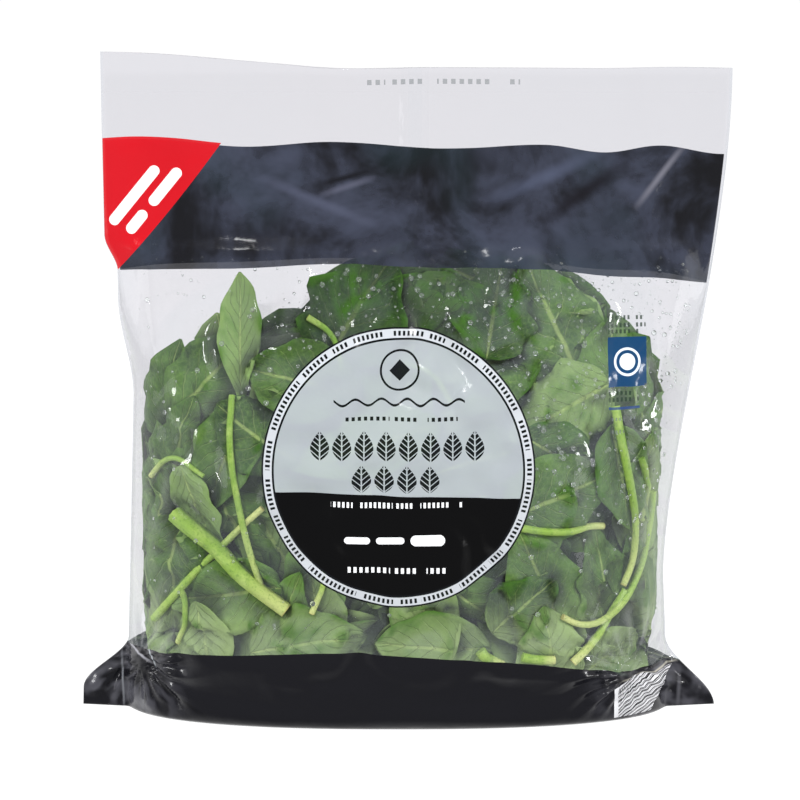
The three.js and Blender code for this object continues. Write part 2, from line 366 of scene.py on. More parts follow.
# %% How high the pile reaches at each place, read off the photo
SKYLINE_X = np.array([-120, -112, -104, -88, -72, -52, 0, 52, 84, 98, 108, 116, 124]) * MM
SKYLINE_Z = np.array([108, 132, 150, 178, 194, 203, 206, 204, 197, 184, 172, 138, 112]) * MM
NOTCH_X, NOTCH_Z, NOTCH_WIDTH = -57 * MM, 173 * MM, 7 * MM  # a gap between two leaves at the top


def skyline(x):
    """The greatest height of a leaf at x."""
    top = np.interp(x, SKYLINE_X, SKYLINE_Z)
    notch = np.exp(-((x - NOTCH_X) / NOTCH_WIDTH) ** 2)
    return top - notch * (top - NOTCH_Z)


tops = skyline(np.array([-100, 0, 100]) * MM)
print("top of the pile at x = -100, 0 and 100 mm, in mm:", np.round(tops / MM))

# %% The map of heights, and dropping things on it
START_DEPTH, START_SHARE = 17 * MM, 0.82  # the ground lies this deep, or at this share of the half depth
SOFT_RISE = 0.6 * MM  # a leaf bends away from what is under it within this height
surface = -np.minimum(START_DEPTH, START_SHARE * pile_half)


def lay(turn, z, shape, clearance):
    """Lay a thing on the map: it leans as the ground leans, and rises where it would sink in."""
    ground = read_map(surface, turn, z)
    flat = np.stack([np.ones(turn.size), (turn - turn.mean()).ravel(), (z - z.mean()).ravel()], axis=1)
    plane, *_ = np.linalg.lstsq(flat, ground.ravel(), rcond=None)
    height = (flat @ plane).reshape(turn.shape) + shape
    lowest = ground + clearance
    return lowest + SOFT_RISE * np.logaddexp(0, (height - lowest) / SOFT_RISE)


def stamp(turn, z, height, finer=4):
    """Write a thing's outer height into the map."""
    rows, columns = height.shape
    i = np.linspace(0, rows - 1.001, rows * finer)
    j = np.linspace(0, columns - 1.001, columns * finer)
    i0, j0 = i.astype(int)[:, None], j.astype(int)[None, :]
    fi, fj = (i - i.astype(int))[:, None], (j - j.astype(int))[None, :]

    def dense(values):
        low = values[i0, j0] * (1 - fj) + values[i0, j0 + 1] * fj
        high = values[i0 + 1, j0] * (1 - fj) + values[i0 + 1, j0 + 1] * fj
        return low * (1 - fi) + high * fi

    column = np.floor(np.mod(dense(turn), 1.0) * PILE_STEPS).astype(int) % PILE_STEPS
    row = np.clip(np.round(map_row(dense(z))), 0, PILE_ROWS - 1).astype(int)
    np.maximum.at(surface, (row, column), dense(height) + THICKNESS / 2)
    return row, column


print("ground of the map, in mm:", round(surface.min() / MM, 1), "to", round(surface.max() / MM, 1))

# %% Placing a leaf
FLOOR_SPARE = 2 * MM  # leaves keep this far from both ends of the map
leaves = {"outer": [], "inner": []}
GRIDS = {"outer": blade_grid(22, 13), "inner": blade_grid(11, 7)}


def spread_out(layer, leaf, turn, z, angle, row):
    """Turn, z, height and folded part of each point of a leaf whose tip points to `angle`."""
    along, across, shape, turned = leaf_shape(leaf, *GRIDS[layer])
    leaf_z = z + along * math.sin(angle) + across * math.cos(angle)
    leaf_turn = turn + (along * math.cos(angle) - across * math.sin(angle)) / pile_round[row]
    return leaf_turn, leaf_z, shape, turned


def place_leaf(layer, leaf, turn, z, angle):
    """Put a leaf on the map and keep it for its layer's mesh."""
    row = int(np.clip(map_row(z), 0, PILE_ROWS - 1))
    leaf_turn, leaf_z, shape, turned = spread_out(layer, leaf, turn, z, angle, row)
    leaf_z = np.clip(leaf_z, PILE_FLOOR, PILE_CEILING)
    height = lay(leaf_turn, leaf_z, shape, LEAF_GAP)
    stamp(leaf_turn, leaf_z, height)
    pale = leaf["under"] * (1 - turned) + (1 - leaf["under"]) * turned
    leaves[layer].append(
        dict(turn=leaf_turn, z=leaf_z, height=height, turned=turned, tone=leaf["tone"], under=pale))


def fits(leaf, turn, z, angle):
    """True if the leaf stays above the floor and under the skyline."""
    leaf_turn, leaf_z, _, _ = spread_out("inner", leaf, turn, z, angle, 0)
    if leaf_z.min() < PILE_FLOOR + FLOOR_SPARE or leaf_z.max() > PILE_CEILING - FLOOR_SPARE:
        return False
    x = read_map(pile_points, leaf_turn, leaf_z)[..., 0]
    return bool(np.all(leaf_z < skyline(x)))


print("points of one leaf:", {layer: u.size for layer, (u, v) in GRIDS.items()})

# %% Random leaves, from the inside out
LEAF_COUNTS = {"inner": 300, "outer": 118}
LEAF_LENGTHS, LEAF_WIDTHS, DROP_HEIGHTS = (40, 70), (25, 40), (14, 205)  # from and to, in mm


def drop_random(layer):
    """Try places until a random leaf fits."""
    leaf = random_leaf(rng.uniform(*LEAF_LENGTHS) * MM, rng.uniform(*LEAF_WIDTHS) * MM)
    while True:
        turn, z, angle = rng.random(), rng.uniform(*DROP_HEIGHTS) * MM, rng.uniform(0, math.tau)
        if fits(leaf, turn, z, angle):
            return place_leaf(layer, leaf, turn, z, angle)


for layer, count in LEAF_COUNTS.items():
    for _ in range(count):
        drop_random(layer)
print("leaves laid at random:", {layer: len(items) for layer, items in leaves.items()})

# %% [markdown]
# ## The leaves and stalks that make this bag this bag
# A few leaves and stalks catch the eye in the photo. They go on last, on top, at their real places:
# x from the middle of the bag, z from the floor, both in millimetres, then the way the tip points.

# %% Leaves placed one by one
HAND_LEAVES = [  # x, z, angle, length, width, tone, underside out
    (-103, 142, 80, 50, 30, 0.35, 0), (-106, 104, 95, 54, 30, 0.5, 0), (-105, 62, 80, 50, 30, 0.4, 1),
    (104, 138, 95, 46, 28, 0.5, 0), (106, 100, 82, 54, 30, 0.3, 1), (104, 56, 97, 52, 30, 0.55, 0),
    (-84, 150, 50, 56, 34, 0.45, 0), (-98, 118, 80, 52, 28, 0.3, 0),
    (-76, 118, 250, 50, 30, 0.5, 0), (-88, 92, 285, 46, 24, 0.75, 1), (-62, 128, 150, 44, 32, 0.15, 0),
    (-100, 66, 265, 52, 34, 0.35, 0), (-78, 58, 190, 58, 32, 0.7, 0), (-84, 36, 280, 40, 28, 0.6, 1),
    (-40, 40, 10, 52, 34, 0.65, 0), (-20, 178, 60, 56, 44, 0.12, 0), (-42, 150, 170, 50, 34, 0.4, 0),
    (66, 172, 110, 60, 44, 0.45, 0), (40, 180, 75, 44, 34, 0.25, 0), (90, 152, 80, 50, 34, 0.7, 0),
    (68, 138, 205, 52, 34, 0.75, 1), (70, 118, 330, 44, 30, 0.2, 0), (66, 102, 20, 56, 38, 0.5, 0),
    (96, 108, 280, 48, 28, 0.6, 0), (60, 66, 115, 54, 34, 0.55, 0), (52, 56, 40, 36, 28, 0.1, 0),
    (88, 62, 95, 50, 28, 0.45, 0), (64, 36, 100, 40, 32, 0.65, 1), (14, 38, 175, 50, 34, 0.6, 0),
    (92, 30, 30, 36, 26, 0.3, 0), (-69, 168, 98, 52, 19, 1.0, 1),
]
NARROW, ROUND_TIP = 0.4, 1.2  # a leaf narrower than this share of its length has a rounder tip
for x, z, angle, length, width, tone, under in HAND_LEAVES:
    leaf = random_leaf(length * MM, width * MM)
    leaf.update(tone=tone, under=float(under), folded=False)
    if width < NARROW * length:
        leaf.update(broad=ROUND_TIP)
    place_leaf("outer", leaf, turn_at(x * MM, z * MM), z * MM, math.radians(angle))
print("leaves placed by hand:", len(HAND_LEAVES))

# %% Paths of the stalks placed one by one
HAND_STALKS = [  # half width, share of it at the far end, tone, then points x, z
    (2.1, 0.7, 0.9, [(-108, 44), (-97, 58), (-84, 74), (-72, 86), (-59, 98)]),
    (1.5, 1.0, 0.55, [(-72, 144), (-73, 126), (-71, 110), (-68, 93), (-65, 80), (-60, 64)]),
    (1.9, 0.9, 0.8, [(51, 90), (60, 88), (72, 87), (82, 88), (89, 87)]),
    (1.7, 1.1, 0.5, [(103, 116), (107, 106), (110, 98), (111, 92)]),
    (2.2, 0.7, 0.7, [(92, 139), (95, 122), (98, 106), (101, 92), (102, 78), (101, 68), (97, 60)]),
    (1.6, 1.3, 1.0, [(98, 58), (91, 46), (83, 37), (74, 29)]),
    (1.9, 0.75, 0.9, [(111, 99), (111.5, 86), (109, 73), (103, 61), (95, 51), (86, 45), (77, 45), (69, 50)]),
    (2.8, 0.8, 0.95, [(34, 36), (37, 32), (44, 29)]),
    (2.4, 0.9, 0.9, [(52, 33), (59, 31), (66, 31)]),
    (1.6, 0.8, 0.6, [(-95, 60), (-92, 48), (-96, 36)]),
    (4.3, 0.82, 0.75, [(-98, 92), (-86, 83), (-71, 70), (-58, 60), (-49, 53.5)]),
]
print("stalks placed by hand:", len(HAND_STALKS))

# %% Laying a stalk on the map
CORNER_CUTS = 3
STALK_SIDES = 9  # strips across a stalk's half, for the map only
STALK_SPARE = 0.8 * MM
FLATNESS = 0.9  # a stalk's depth as a share of its width
stalks = []
stalk_room = np.zeros_like(surface)  # how much room the stalks need between the leaves and the film


def smooth_path(points, count):
    """A smooth line past the given points, at equal steps: its corners are cut a few times."""
    points = np.array(points, float)
    for _ in range(CORNER_CUTS):
        cut = np.empty((2 * len(points) - 2, 2))
        cut[0::2] = 0.75 * points[:-1] + 0.25 * points[1:]
        cut[1::2] = 0.25 * points[:-1] + 0.75 * points[1:]
        points = np.vstack([points[:1], cut, points[-1:]])
    return even_steps(points, count, closed=False)[0]


def soften(values, size=9):
    """A running mean over an odd number of steps, with the middle ones counted most."""
    kernel = np.hanning(size + 2)[1:-1]
    return np.convolve(np.pad(values, size // 2, mode="edge"), kernel / kernel.sum(), mode="valid")


def place_stalk(path, radius, tone):
    """Lay a stalk on the map: `path` holds turn and z, `radius` its half width along the way."""
    turn, z = path[:, 0], path[:, 1]
    ground = read_map(surface, turn, z)
    height = np.maximum(ground, soften(ground)) + FLATNESS * radius
    across = np.linspace(-1, 1, STALK_SIDES)
    step = np.gradient(path, axis=0) * np.array([belly_round, 1.0])
    step /= np.linalg.norm(step, axis=1, keepdims=True)
    side_turn = turn[:, None] - across * radius[:, None] * step[:, 1:] / belly_round
    side_z = z[:, None] + across * radius[:, None] * step[:, :1]
    crown = height[:, None] + FLATNESS * radius[:, None] * np.sqrt(1 - 0.98 * across ** 2)
    cells = stamp(side_turn, side_z, crown, finer=3)
    stalk_room[cells] = np.maximum(stalk_room[cells], 2 * FLATNESS * radius.max() + STALK_SPARE)
    root = np.linspace(0, 1, len(turn))
    stalks.append(dict(turn=turn, z=z, height=height, radius=radius, tone=tone, root=root))


# %% Stalks at the feet of some random leaves, then the listed ones
RANDOM_STALKS = 18
RANDOM_POINTS, HAND_POINTS = 14, 26  # along one stalk
RANDOM_LENGTHS, RANDOM_BENDS = (14, 34), (-0.35, 0.35)  # from and to, in mm and as a share of the length
STALK_LOWEST, STALK_HIGHEST = 8 * MM, 190 * MM
for item in rng.choice(len(leaves["outer"]) - len(HAND_LEAVES), RANDOM_STALKS, replace=False):
    leaf = leaves["outer"][item]
    middle = leaf["turn"].shape[1] // 2
    foot, further_in = (np.array([leaf["turn"][k, middle], leaf["z"][k, middle]]) for k in (1, 5))
    away = foot - further_in
    away *= rng.uniform(*RANDOM_LENGTHS) * MM / np.hypot(away[0] * belly_round, away[1])
    bend = np.array([-away[1] / belly_round, away[0] * belly_round]) * rng.uniform(*RANDOM_BENDS)
    points = [foot, foot + 0.5 * away + bend, foot + away]
    if all(STALK_LOWEST < point[1] < STALK_HIGHEST for point in points):
        radius = np.linspace(1.1, 1.5, RANDOM_POINTS) * MM
        place_stalk(smooth_path(points, RANDOM_POINTS), radius, rng.random())
for half, end_share, tone, points in HAND_STALKS:
    line = smooth_path(points, HAND_POINTS) * MM
    turns = [turn_at(x, z) for x, z in line]
    radius = half * MM * np.linspace(1, end_share, HAND_POINTS)
    place_stalk(np.stack([turns, line[:, 1]], axis=1), radius, tone)
print("stalks:", len(stalks))


# %% [markdown]
# ## Folds of the film
# Flat film makes folds where it is pushed together: pleats that fan out from the two bottom corners,
# flat facets like crushed foil in the corners themselves, and a few sharp creases. All of them are
# heights over the smooth form, so they are added up before the leaves are pressed in place.

# %% Pleats and creases
def fan(x, z, centre, count, reach, depth, phase=0.0):
    """Sharp pleats that spread from a point."""
    dx, dz = x - centre[0], z - centre[1]
    r = np.hypot(dx, dz)
    angle = np.arctan2(dz, dx) / math.pi * count + phase + 0.35 * np.sin(r / (9 * MM))
    pleat = 2 * np.abs(2 * (angle - np.floor(angle)) - 1) - 1
    return depth * pleat * (r / reach) * np.exp(1 - (r / reach) ** 2)


def crease(x, z, start, end, width, depth):
    """One sharp fold along a line."""
    line = np.array(end) - np.array(start)
    length = math.hypot(*line)
    t = ((x - start[0]) * line[0] + (z - start[1]) * line[1]) / length ** 2
    away = np.abs((x - start[0]) * line[1] - (z - start[1]) * line[0]) / length
    share = np.sqrt(np.clip(4 * t * (1 - t), 0, 1))
    return depth * share * np.exp(-away / width)


HAND_CREASES = [  # from x, z to x, z, then width and depth, all in mm; these are on the front
    (122, 249, 100, 216, 3.0, 1.3), (-114, 31, -92, 3, 1.5, -2.6), (-119, 37, -119, 0, 1.1, 2.8),
    (-108, 34, -120, 22, 1.4, 2.0), (86, 34, 89, 8, 1.6, 1.6), (97, 22, 126, 26, 1.2, 2.0),
    (97, 21, 118, 15, 1.2, -2.2), (109, 236, 106, 231, 1.2, 0.9), (-60, 22, -10, 17, 5.0, 0.8),
    (-117, 32, -136, 12, 1.2, 1.9), (-118, 28, -130, 3, 1.1, -1.9), (-117, 24, -124, 2, 1.0, 1.6),
    (-120, 22, -138, 6, 1.0, -1.5), (-110, 33, -98, 18, 1.0, 1.6), (108, 30, 133, 18, 1.1, 1.9),
    (108, 29, 130, 8, 1.1, -2.0), (106, 28, 121, 2, 1.1, 1.9), (104, 30, 84, 24, 1.2, -1.6),
    (100, 33, 92, 2, 1.2, -1.5), (116, 24, 137, 10, 1.0, 1.4), (112, 33, 98, 34, 1.3, 1.7),
    (10, 12, 80, 16, 4.0, -0.8), (30, 26, 88, 21, 3.5, 0.8), (-96, 16, -40, 10, 4.0, -0.9),
    (-90, 240, -60, 205, 5.0, 0.7), (30, 245, 52, 205, 5.0, 0.7), (-30, 232, 10, 214, 6.0, -0.6),
    (60, 235, 98, 224, 4.0, 0.7),
]
RANDOM_CREASES = {True: 16, False: 26}  # on the front and on the back
creases = {True: [tuple(v * MM for v in row) for row in HAND_CREASES], False: []}
for front, count in RANDOM_CREASES.items():
    for _ in range(count):
        x0, z0 = rng.uniform(-118, 122), rng.choice([rng.uniform(200, 270), rng.uniform(4, 34)])
        tilt, reach = rng.uniform(-1.2, 1.2), rng.uniform(10, 34)
        row = (x0, z0, x0 + reach * math.cos(tilt), z0 + reach * math.sin(tilt), rng.uniform(1.5, 4.5),
               rng.uniform(-0.7, 0.7))
        creases[front].append(tuple(v * MM for v in row))
print("creases on the front and on the back:", len(creases[True]), len(creases[False]))

# %% Facets, and all folds together
LEFT_PINCH = (-114 * MM, 25 * MM)  # the points that the pleats spread from
RIGHT_PINCH = {True: (99 * MM, 21 * MM), False: (112 * MM, 21 * MM)}  # on the front and on the back
CRUMPLES = [  # direction, width of the facets and height, for each set of parallel folds
    (0.5, 19, 2.0), (2.1, 15, 1.7), (1.25, 10, 1.0), (2.8, 26, 2.2),
]


def crumple(x, z):
    """Flat facets with sharp edges, like crushed foil."""
    height = np.zeros_like(x)
    for angle, width, depth in CRUMPLES:
        bend = 3 * MM * np.sin(z / (9 * MM) + angle) + 2 * MM * np.sin(x / (13 * MM))
        turn = (x * math.cos(angle) + z * math.sin(angle) + bend) / (width * MM)
        height = height + depth * MM * (np.abs(2 * (turn - np.floor(turn)) - 1) - 0.5)
    return height


def film_folds(x, z, front):
    """How far the folds push one sheet outwards."""
    folds = fan(x, z, LEFT_PINCH, 8, 17 * MM, 1.3 * MM, 0.2)
    folds = folds + fan(x, z, RIGHT_PINCH[front], 9, 18 * MM, 1.5 * MM)
    corners = ease(np.abs(x), 84 * MM, 104 * MM) * ease(z, 42 * MM, 26 * MM)
    folds = folds + crumple(x, z) * corners
    for x0, z0, x1, z1, width, depth in creases[front]:
        folds = folds + crease(x, z, (x0, z0), (x1, z1), width, depth)
    sag = 0.5 * MM * np.sin(x / (17 * MM) + 2 * np.sin(z / (11 * MM))) * ease(z, 34 * MM, 20 * MM)
    return (folds + sag) * ease(z, 0.5 * MM, 9 * MM)


# %% [markdown]
# ## Pressing the pile against the film
# The map now stands some millimetres in or out. We take its slow rise and fall away, so that the pile
# is full everywhere, and keep the quick one: those are the leaves. The film then lies over the highest
# leaves like cling film, bridging the hollows between them. It is a blurred copy of the map.

# %% Blurring and widening a map
LEVEL_BLUR = 14
FILM_BLUR = 2.6
FILM_REACH = 3  # steps by which high places are widened before the blur
LEAST_RELIEF, MOST_RELIEF = -2.6 * MM, 2.4 * MM
SKYLINE_MARGIN = 6 * MM
SUNK, RAISED = 0.4 * MM, 0.5 * MM  # how far the leaves sink in, and how far the film stands off
CORNER_SPARE = 2.5 * MM  # the leaves keep away from the folds low down
SPARE_UNDER_FILM = 0.3 * MM
CONTACT_FROM, CONTACT_TO = 1.3 * MM, 0.35 * MM  # how near the film a leaf touches it
FILM_SPARE, SOFT_LIMIT = 0.25 * MM, 0.35 * MM  # a thing stays this far behind the film, and eases in
DEEPEST_SHARE = 0.85  # of the pile's half depth; no leaf sinks deeper


def inside_share(x, z):
    """1 on the open faces, falling to 0 at the side edges, the base and the header."""
    rim = np.minimum(x - left_side(z), right_side(z) - x)
    return ease(rim, 3 * MM, 16 * MM) * ease(z, 8 * MM, 30 * MM) * ease(z, 214 * MM, 202 * MM)


def map_blur(values, sigma):
    """Blur a map: it closes on itself one way and ends the other way."""
    turned = circular_blur(values.T, sigma).T
    mirrored = np.vstack([turned, turned[::-1]])
    return circular_blur(mirrored, sigma)[: len(values)]


def widen(values, reach):
    """Each place takes the highest value within reach."""
    out = values.copy()
    for shift in range(1, reach + 1):
        out = np.maximum(out, np.maximum(np.roll(values, shift, axis=1), np.roll(values, -shift, axis=1)))
    values = out.copy()
    for shift in range(1, reach + 1):
        out[shift:] = np.maximum(out[shift:], values[:-shift])
        out[:-shift] = np.maximum(out[:-shift], values[shift:])
    return out


# %% The film over the pile, and the leaves under it
filled = pile_height < skyline(pile_x) - SKYLINE_MARGIN
weight = map_blur(filled.astype(float), LEVEL_BLUR) + 1e-3
level = map_blur(np.where(filled, surface, 0), LEVEL_BLUR) / weight + SUNK
relief = np.clip(surface - level, LEAST_RELIEF, MOST_RELIEF)
film_relief = map_blur(widen(relief, FILM_REACH), FILM_BLUR) + RAISED
film_relief = film_relief * inside_share(pile_x, pile_height)
bends = np.where(pile_front, film_folds(pile_x, pile_height, True), film_folds(pile_x, pile_height, False))
ceiling = film_relief + np.minimum(0, bends) - CORNER_SPARE * ease(pile_height, 31 * MM, 24 * MM)
excess = np.maximum(0, surface - level - ceiling + SPARE_UNDER_FILM)
level = level + map_blur(widen(excess, 2), 1.5)
contact = ease(film_relief - relief, CONTACT_FROM, CONTACT_TO)
leaf_room = map_blur(widen(stalk_room, 1), 1.2)
print("film relief, in mm:", round(film_relief.min() / MM, 1), "to", round(film_relief.max() / MM, 1))


def press(turn, z, height, half_thickness, room=0.0):
    """Final height of a thing on the levelled pile, kept behind the film."""
    settled = height - read_map(level, turn, z)
    most = read_map(ceiling, turn, z) - FILM_SPARE - half_thickness - room
    settled = most - SOFT_LIMIT * np.logaddexp(0, (most - settled) / SOFT_LIMIT)
    return np.maximum(settled, -DEEPEST_SHARE * read_map(pile_half, turn, z))


# %% [markdown]
# ## From arrays to meshes
# Every leaf has the same grid of points, so all of them go into one mesh at once. A blade gets two
# faces and a narrow rim, which makes it a closed thin solid. We keep a UV map along and across each
# blade for the veins. Four numbers at each point say how light its leaf is, whether it shows its
# underside, whether it is wet, and how deep it lies. A leaf could be one object each, but hundreds of
# objects would be slow to handle, and the looks only need these numbers.

# %% Making an object from points and quads
def new_object(name, data):
    """An object that is in the scene."""
    made = bpy.data.objects.new(name, data)
    bpy.context.scene.collection.objects.link(made)
    return made


def add_object(name, points, faces, edges=(), material=None):
    """A smooth-shaded mesh object at the origin."""
    mesh = bpy.data.meshes.new(name)
    mesh.from_pydata(points.tolist(), list(edges), faces if isinstance(faces, list) else faces.tolist())
    mesh.polygons.foreach_set("use_smooth", [True] * len(mesh.polygons))
    mesh.update()
    if material:
        mesh.materials.append(material)
    return new_object(name, mesh)


def store(piece, name, values):
    """Keep one number for each point under a name that a material can read."""
    attribute = piece.data.attributes.new(name, "FLOAT", "POINT")
    attribute.data.foreach_set("value", np.asarray(values, np.float32).ravel())


# %% The faces of a blade, and what keeps things in the bag
def blade_faces(rows, columns):
    """Quads of one blade: outer face, inner face and the rim between them."""
    index = np.arange(rows * columns).reshape(rows, columns)
    a, b, c, d = index[:-1, :-1], index[1:, :-1], index[1:, 1:], index[:-1, 1:]
    outer = np.stack([a, b, c, d], axis=-1).reshape(-1, 4)
    inner = outer[:, ::-1] + rows * columns
    rim = np.concatenate([index[0, :], index[1:, -1], index[-1, -2::-1], index[-2:0:-1, 0]])
    follows = np.roll(rim, -1)
    sides = np.stack([rim, follows, follows + rows * columns, rim + rows * columns], axis=1)
    return np.vstack([outer, inner, sides])


SIDE_MARGIN = 1.6 * MM
GATHERED_MARGIN, GATHERED_Z = 7 * MM, (50 * MM, 30 * MM)  # near the bottom corners the pleats come in
WET_FROM, WET_TO = 2.2 * MM, 0.9 * MM  # how near the film a leaf gets wet
DEEP_FROM, DEEP_TO = 1.2 * MM, 6.5 * MM  # below the film, less and less light comes in


def keep_inside(points):
    """Hold points back from the side edges, where the two sheets meet."""
    x, y, z = points[..., 0], points[..., 1], points[..., 2]
    gathered = ease(z, *GATHERED_Z)
    margin = SIDE_MARGIN + GATHERED_MARGIN * gathered
    x = np.clip(x, left_body(z) + margin, right_body(z) - margin)
    rim = np.minimum(x - left_body(z), right_body(z) - x)
    wave = header_wave(x, z)
    spare = 3 * MM * ease(rim, 4 * MM, 16 * MM) - 1.2 * MM * gathered
    most = np.maximum(half_gap(x, z) - 0.6 * MM + spare, 0.05 * MM)
    return np.stack([x, wave + np.clip(y - wave, -most, most), z], axis=-1)


# %% Both layers of leaves
def build_leaves(name, layer):
    """One mesh of all the leaves of a layer."""
    u, v = GRIDS[layer]
    quads = blade_faces(*u.shape)
    points, faces = [], []
    facts = {"tone": [], "under": [], "wet": [], "deep": []}
    for number, leaf in enumerate(leaves[layer]):
        spot = leaf["turn"], leaf["z"]
        room = read_map(leaf_room, *spot)
        height = press(*spot, leaf["height"], THICKNESS / 2, room)
        below = read_map(ceiling, *spot) - height
        face = (1 - 2 * leaf["turned"]) * THICKNESS / 2
        faces.append(quads + 2 * u.size * number)
        for shift in (face, -face):
            points.append(keep_inside(roll_up(*spot, height + shift)).reshape(-1, 3))
            facts["tone"].append(np.full(u.size, leaf["tone"]))
            facts["under"].append(leaf["under"].ravel())
            facts["wet"].append(ease(below, WET_FROM, WET_TO).ravel())
            facts["deep"].append(ease(below - room, DEEP_FROM, DEEP_TO).ravel())
    piece = add_object(name, np.vstack(points), np.vstack(faces))
    for fact, values in facts.items():
        store(piece, fact, np.concatenate(values))
    blade = np.stack([u.ravel(), v.ravel() / 2 + 0.5], axis=1)
    blade = np.vstack([blade] * (2 * len(leaves[layer])))
    corners = np.empty(len(piece.data.loops), dtype=np.int32)
    piece.data.loops.foreach_get("vertex_index", corners)
    piece.data.uv_layers.new(name="blade").data.foreach_set("uv", blade[corners].ravel())
    print(name, len(piece.data.polygons), "quads")
    return piece


outer_leaves = build_leaves("spinach_leaves_outer", "outer")
inner_leaves = build_leaves("spinach_leaves_inner", "inner")

# %% The dark middle of the pile
CORE_ROWS, CORE_STEPS = 52, 144
CORE_WIDTH, CORE_DEPTH = 0.86, 0.6  # as shares of the pile


def build_core():
    """A lumpy closed form inside, so that no light falls through the pile."""
    turn, share = np.meshgrid(np.linspace(0, 1, CORE_STEPS, endpoint=False), np.linspace(0, 1, CORE_ROWS))
    x = read_map(pile_points, turn, np.full_like(turn, 90 * MM))[..., 0]
    z = PILE_FLOOR + 2 * MM + share * (skyline(x * 0.97) - 24 * MM - PILE_FLOOR)
    bumps = np.sin(turn * math.tau * 23 + z / MM / 9) * np.sin(z / MM / 7 + 2 * np.sin(turn * math.tau * 9))
    depth = -3 * MM + 1.5 * MM * bumps - 14 * MM * share ** 4
    points = roll_up(turn, z, np.maximum(depth, -0.4 * read_map(pile_half, turn, z)))
    points[..., 0] *= CORE_WIDTH
    points[..., 1] *= CORE_DEPTH
    points = points.reshape(-1, 3)
    index = np.arange(CORE_ROWS * CORE_STEPS).reshape(CORE_ROWS, CORE_STEPS)
    right = np.roll(index, -1, axis=1)
    faces = np.stack([index[:-1], right[:-1], right[1:], index[1:]], axis=-1).reshape(-1, 4).tolist()
    for row, turned in ((index[0], True), (index[-1], False)):
        half = CORE_STEPS // 2
        for k in range(half - 1):
            quad = [row[k], row[k + 1], row[-2 - k], row[-1 - k]]
            faces.append([int(i) for i in (quad[::-1] if turned else quad)])
    return add_object("spinach_core", points, faces)


core = build_core()
print("core:", len(core.data.polygons), "quads")

# %% [markdown]
# ## Stalks with Geometry Nodes
# A stalk is one shape that follows many paths: a ribbed, slightly flattened rod. That is just what
# Geometry Nodes are good at. We hand over bare lines with a radius at each point, and the tree sweeps a
# profile along them, closes the ends and sets the material.

# %% A helper for node trees of any kind
def add_node(tree, kind, settings=None, inputs=None):
    """One node: first its settings, then values or links for its sockets."""
    node = tree.nodes.new(kind)
    for key, value in (settings or {}).items():
        setattr(node, key, value)
    for key, value in (inputs or {}).items():
        if isinstance(value, bpy.types.NodeSocket):
            tree.links.new(value, node.inputs[key])
        else:
            node.inputs[key].default_value = value
    return node


def maths_node(tree, operation, first, second):
    """The result of one Math node."""
    return add_node(tree, "ShaderNodeMath", {"operation": operation}, {0: first, 1: second}).outputs[0]


def stored_number(tree, name):
    """In a geometry tree: the numbers that a piece keeps under a name."""
    settings, inputs = {"data_type": "FLOAT"}, {"Name": name}
    return add_node(tree, "GeometryNodeInputNamedAttribute", settings, inputs).outputs[0]


def geometry_tree(name, sizes):
    """An empty Geometry Nodes tree with named number inputs."""
    tree = bpy.data.node_groups.new(name, "GeometryNodeTree")
    tree.interface.new_socket("Geometry", in_out="INPUT", socket_type="NodeSocketGeometry")
    tree.interface.new_socket("Geometry", in_out="OUTPUT", socket_type="NodeSocketGeometry")
    for label, (kind, value) in sizes.items():
        socket = tree.interface.new_socket(label, in_out="INPUT", socket_type=kind)
        socket.default_value = value
    return tree, tree.nodes.new("NodeGroupInput"), tree.nodes.new("NodeGroupOutput")


def grow(piece, tree, values):
    """Run a tree on a piece, with inputs set by name, and keep the result as a plain mesh."""
    modifier = piece.modifiers.new(tree.name, "NODES")
    modifier.node_group = tree
    for item in tree.interface.items_tree:
        if item.in_out == "INPUT" and item.name in values:
            modifier[item.identifier] = values[item.name]
    graph = bpy.context.evaluated_depsgraph_get()
    mesh = bpy.data.meshes.new_from_object(piece.evaluated_get(graph), depsgraph=graph)
    name = piece.name
    made = new_object(name + "_made", mesh)
    bpy.data.objects.remove(piece)
    made.name = name
    return made


# %% Lines for the stalks, and the tree that sweeps them
def even_out(height):
    """A stalk is stiff: its height follows the low places, and only slowly."""
    padded = np.pad(height, 2, mode="edge")
    low = np.min([padded[k: k + len(height)] for k in range(5)], axis=0)
    return soften((low + height) / 2)


def stalk_lines():
    """All stalks as bare lines, with radius, tone and the way to the root kept on their points."""
    points, edges = [], []
    facts = {"radius": [], "tone": [], "root": []}
    for stalk in stalks:
        spot = stalk["turn"], stalk["z"]
        start, count = len(facts["radius"]), len(stalk["turn"])
        height = press(*spot, stalk["height"], FLATNESS * stalk["radius"])
        points.append(keep_inside(roll_up(*spot, even_out(height))))
        edges += [(start + k, start + k + 1) for k in range(count - 1)]
        for fact, values in facts.items():
            values += list(np.broadcast_to(stalk[fact], count))
    lines = add_object("spinach_stalks", np.vstack(points), [], edges)
    for fact, values in facts.items():
        store(lines, "stalk_radius" if fact == "radius" else fact, values)
    return lines


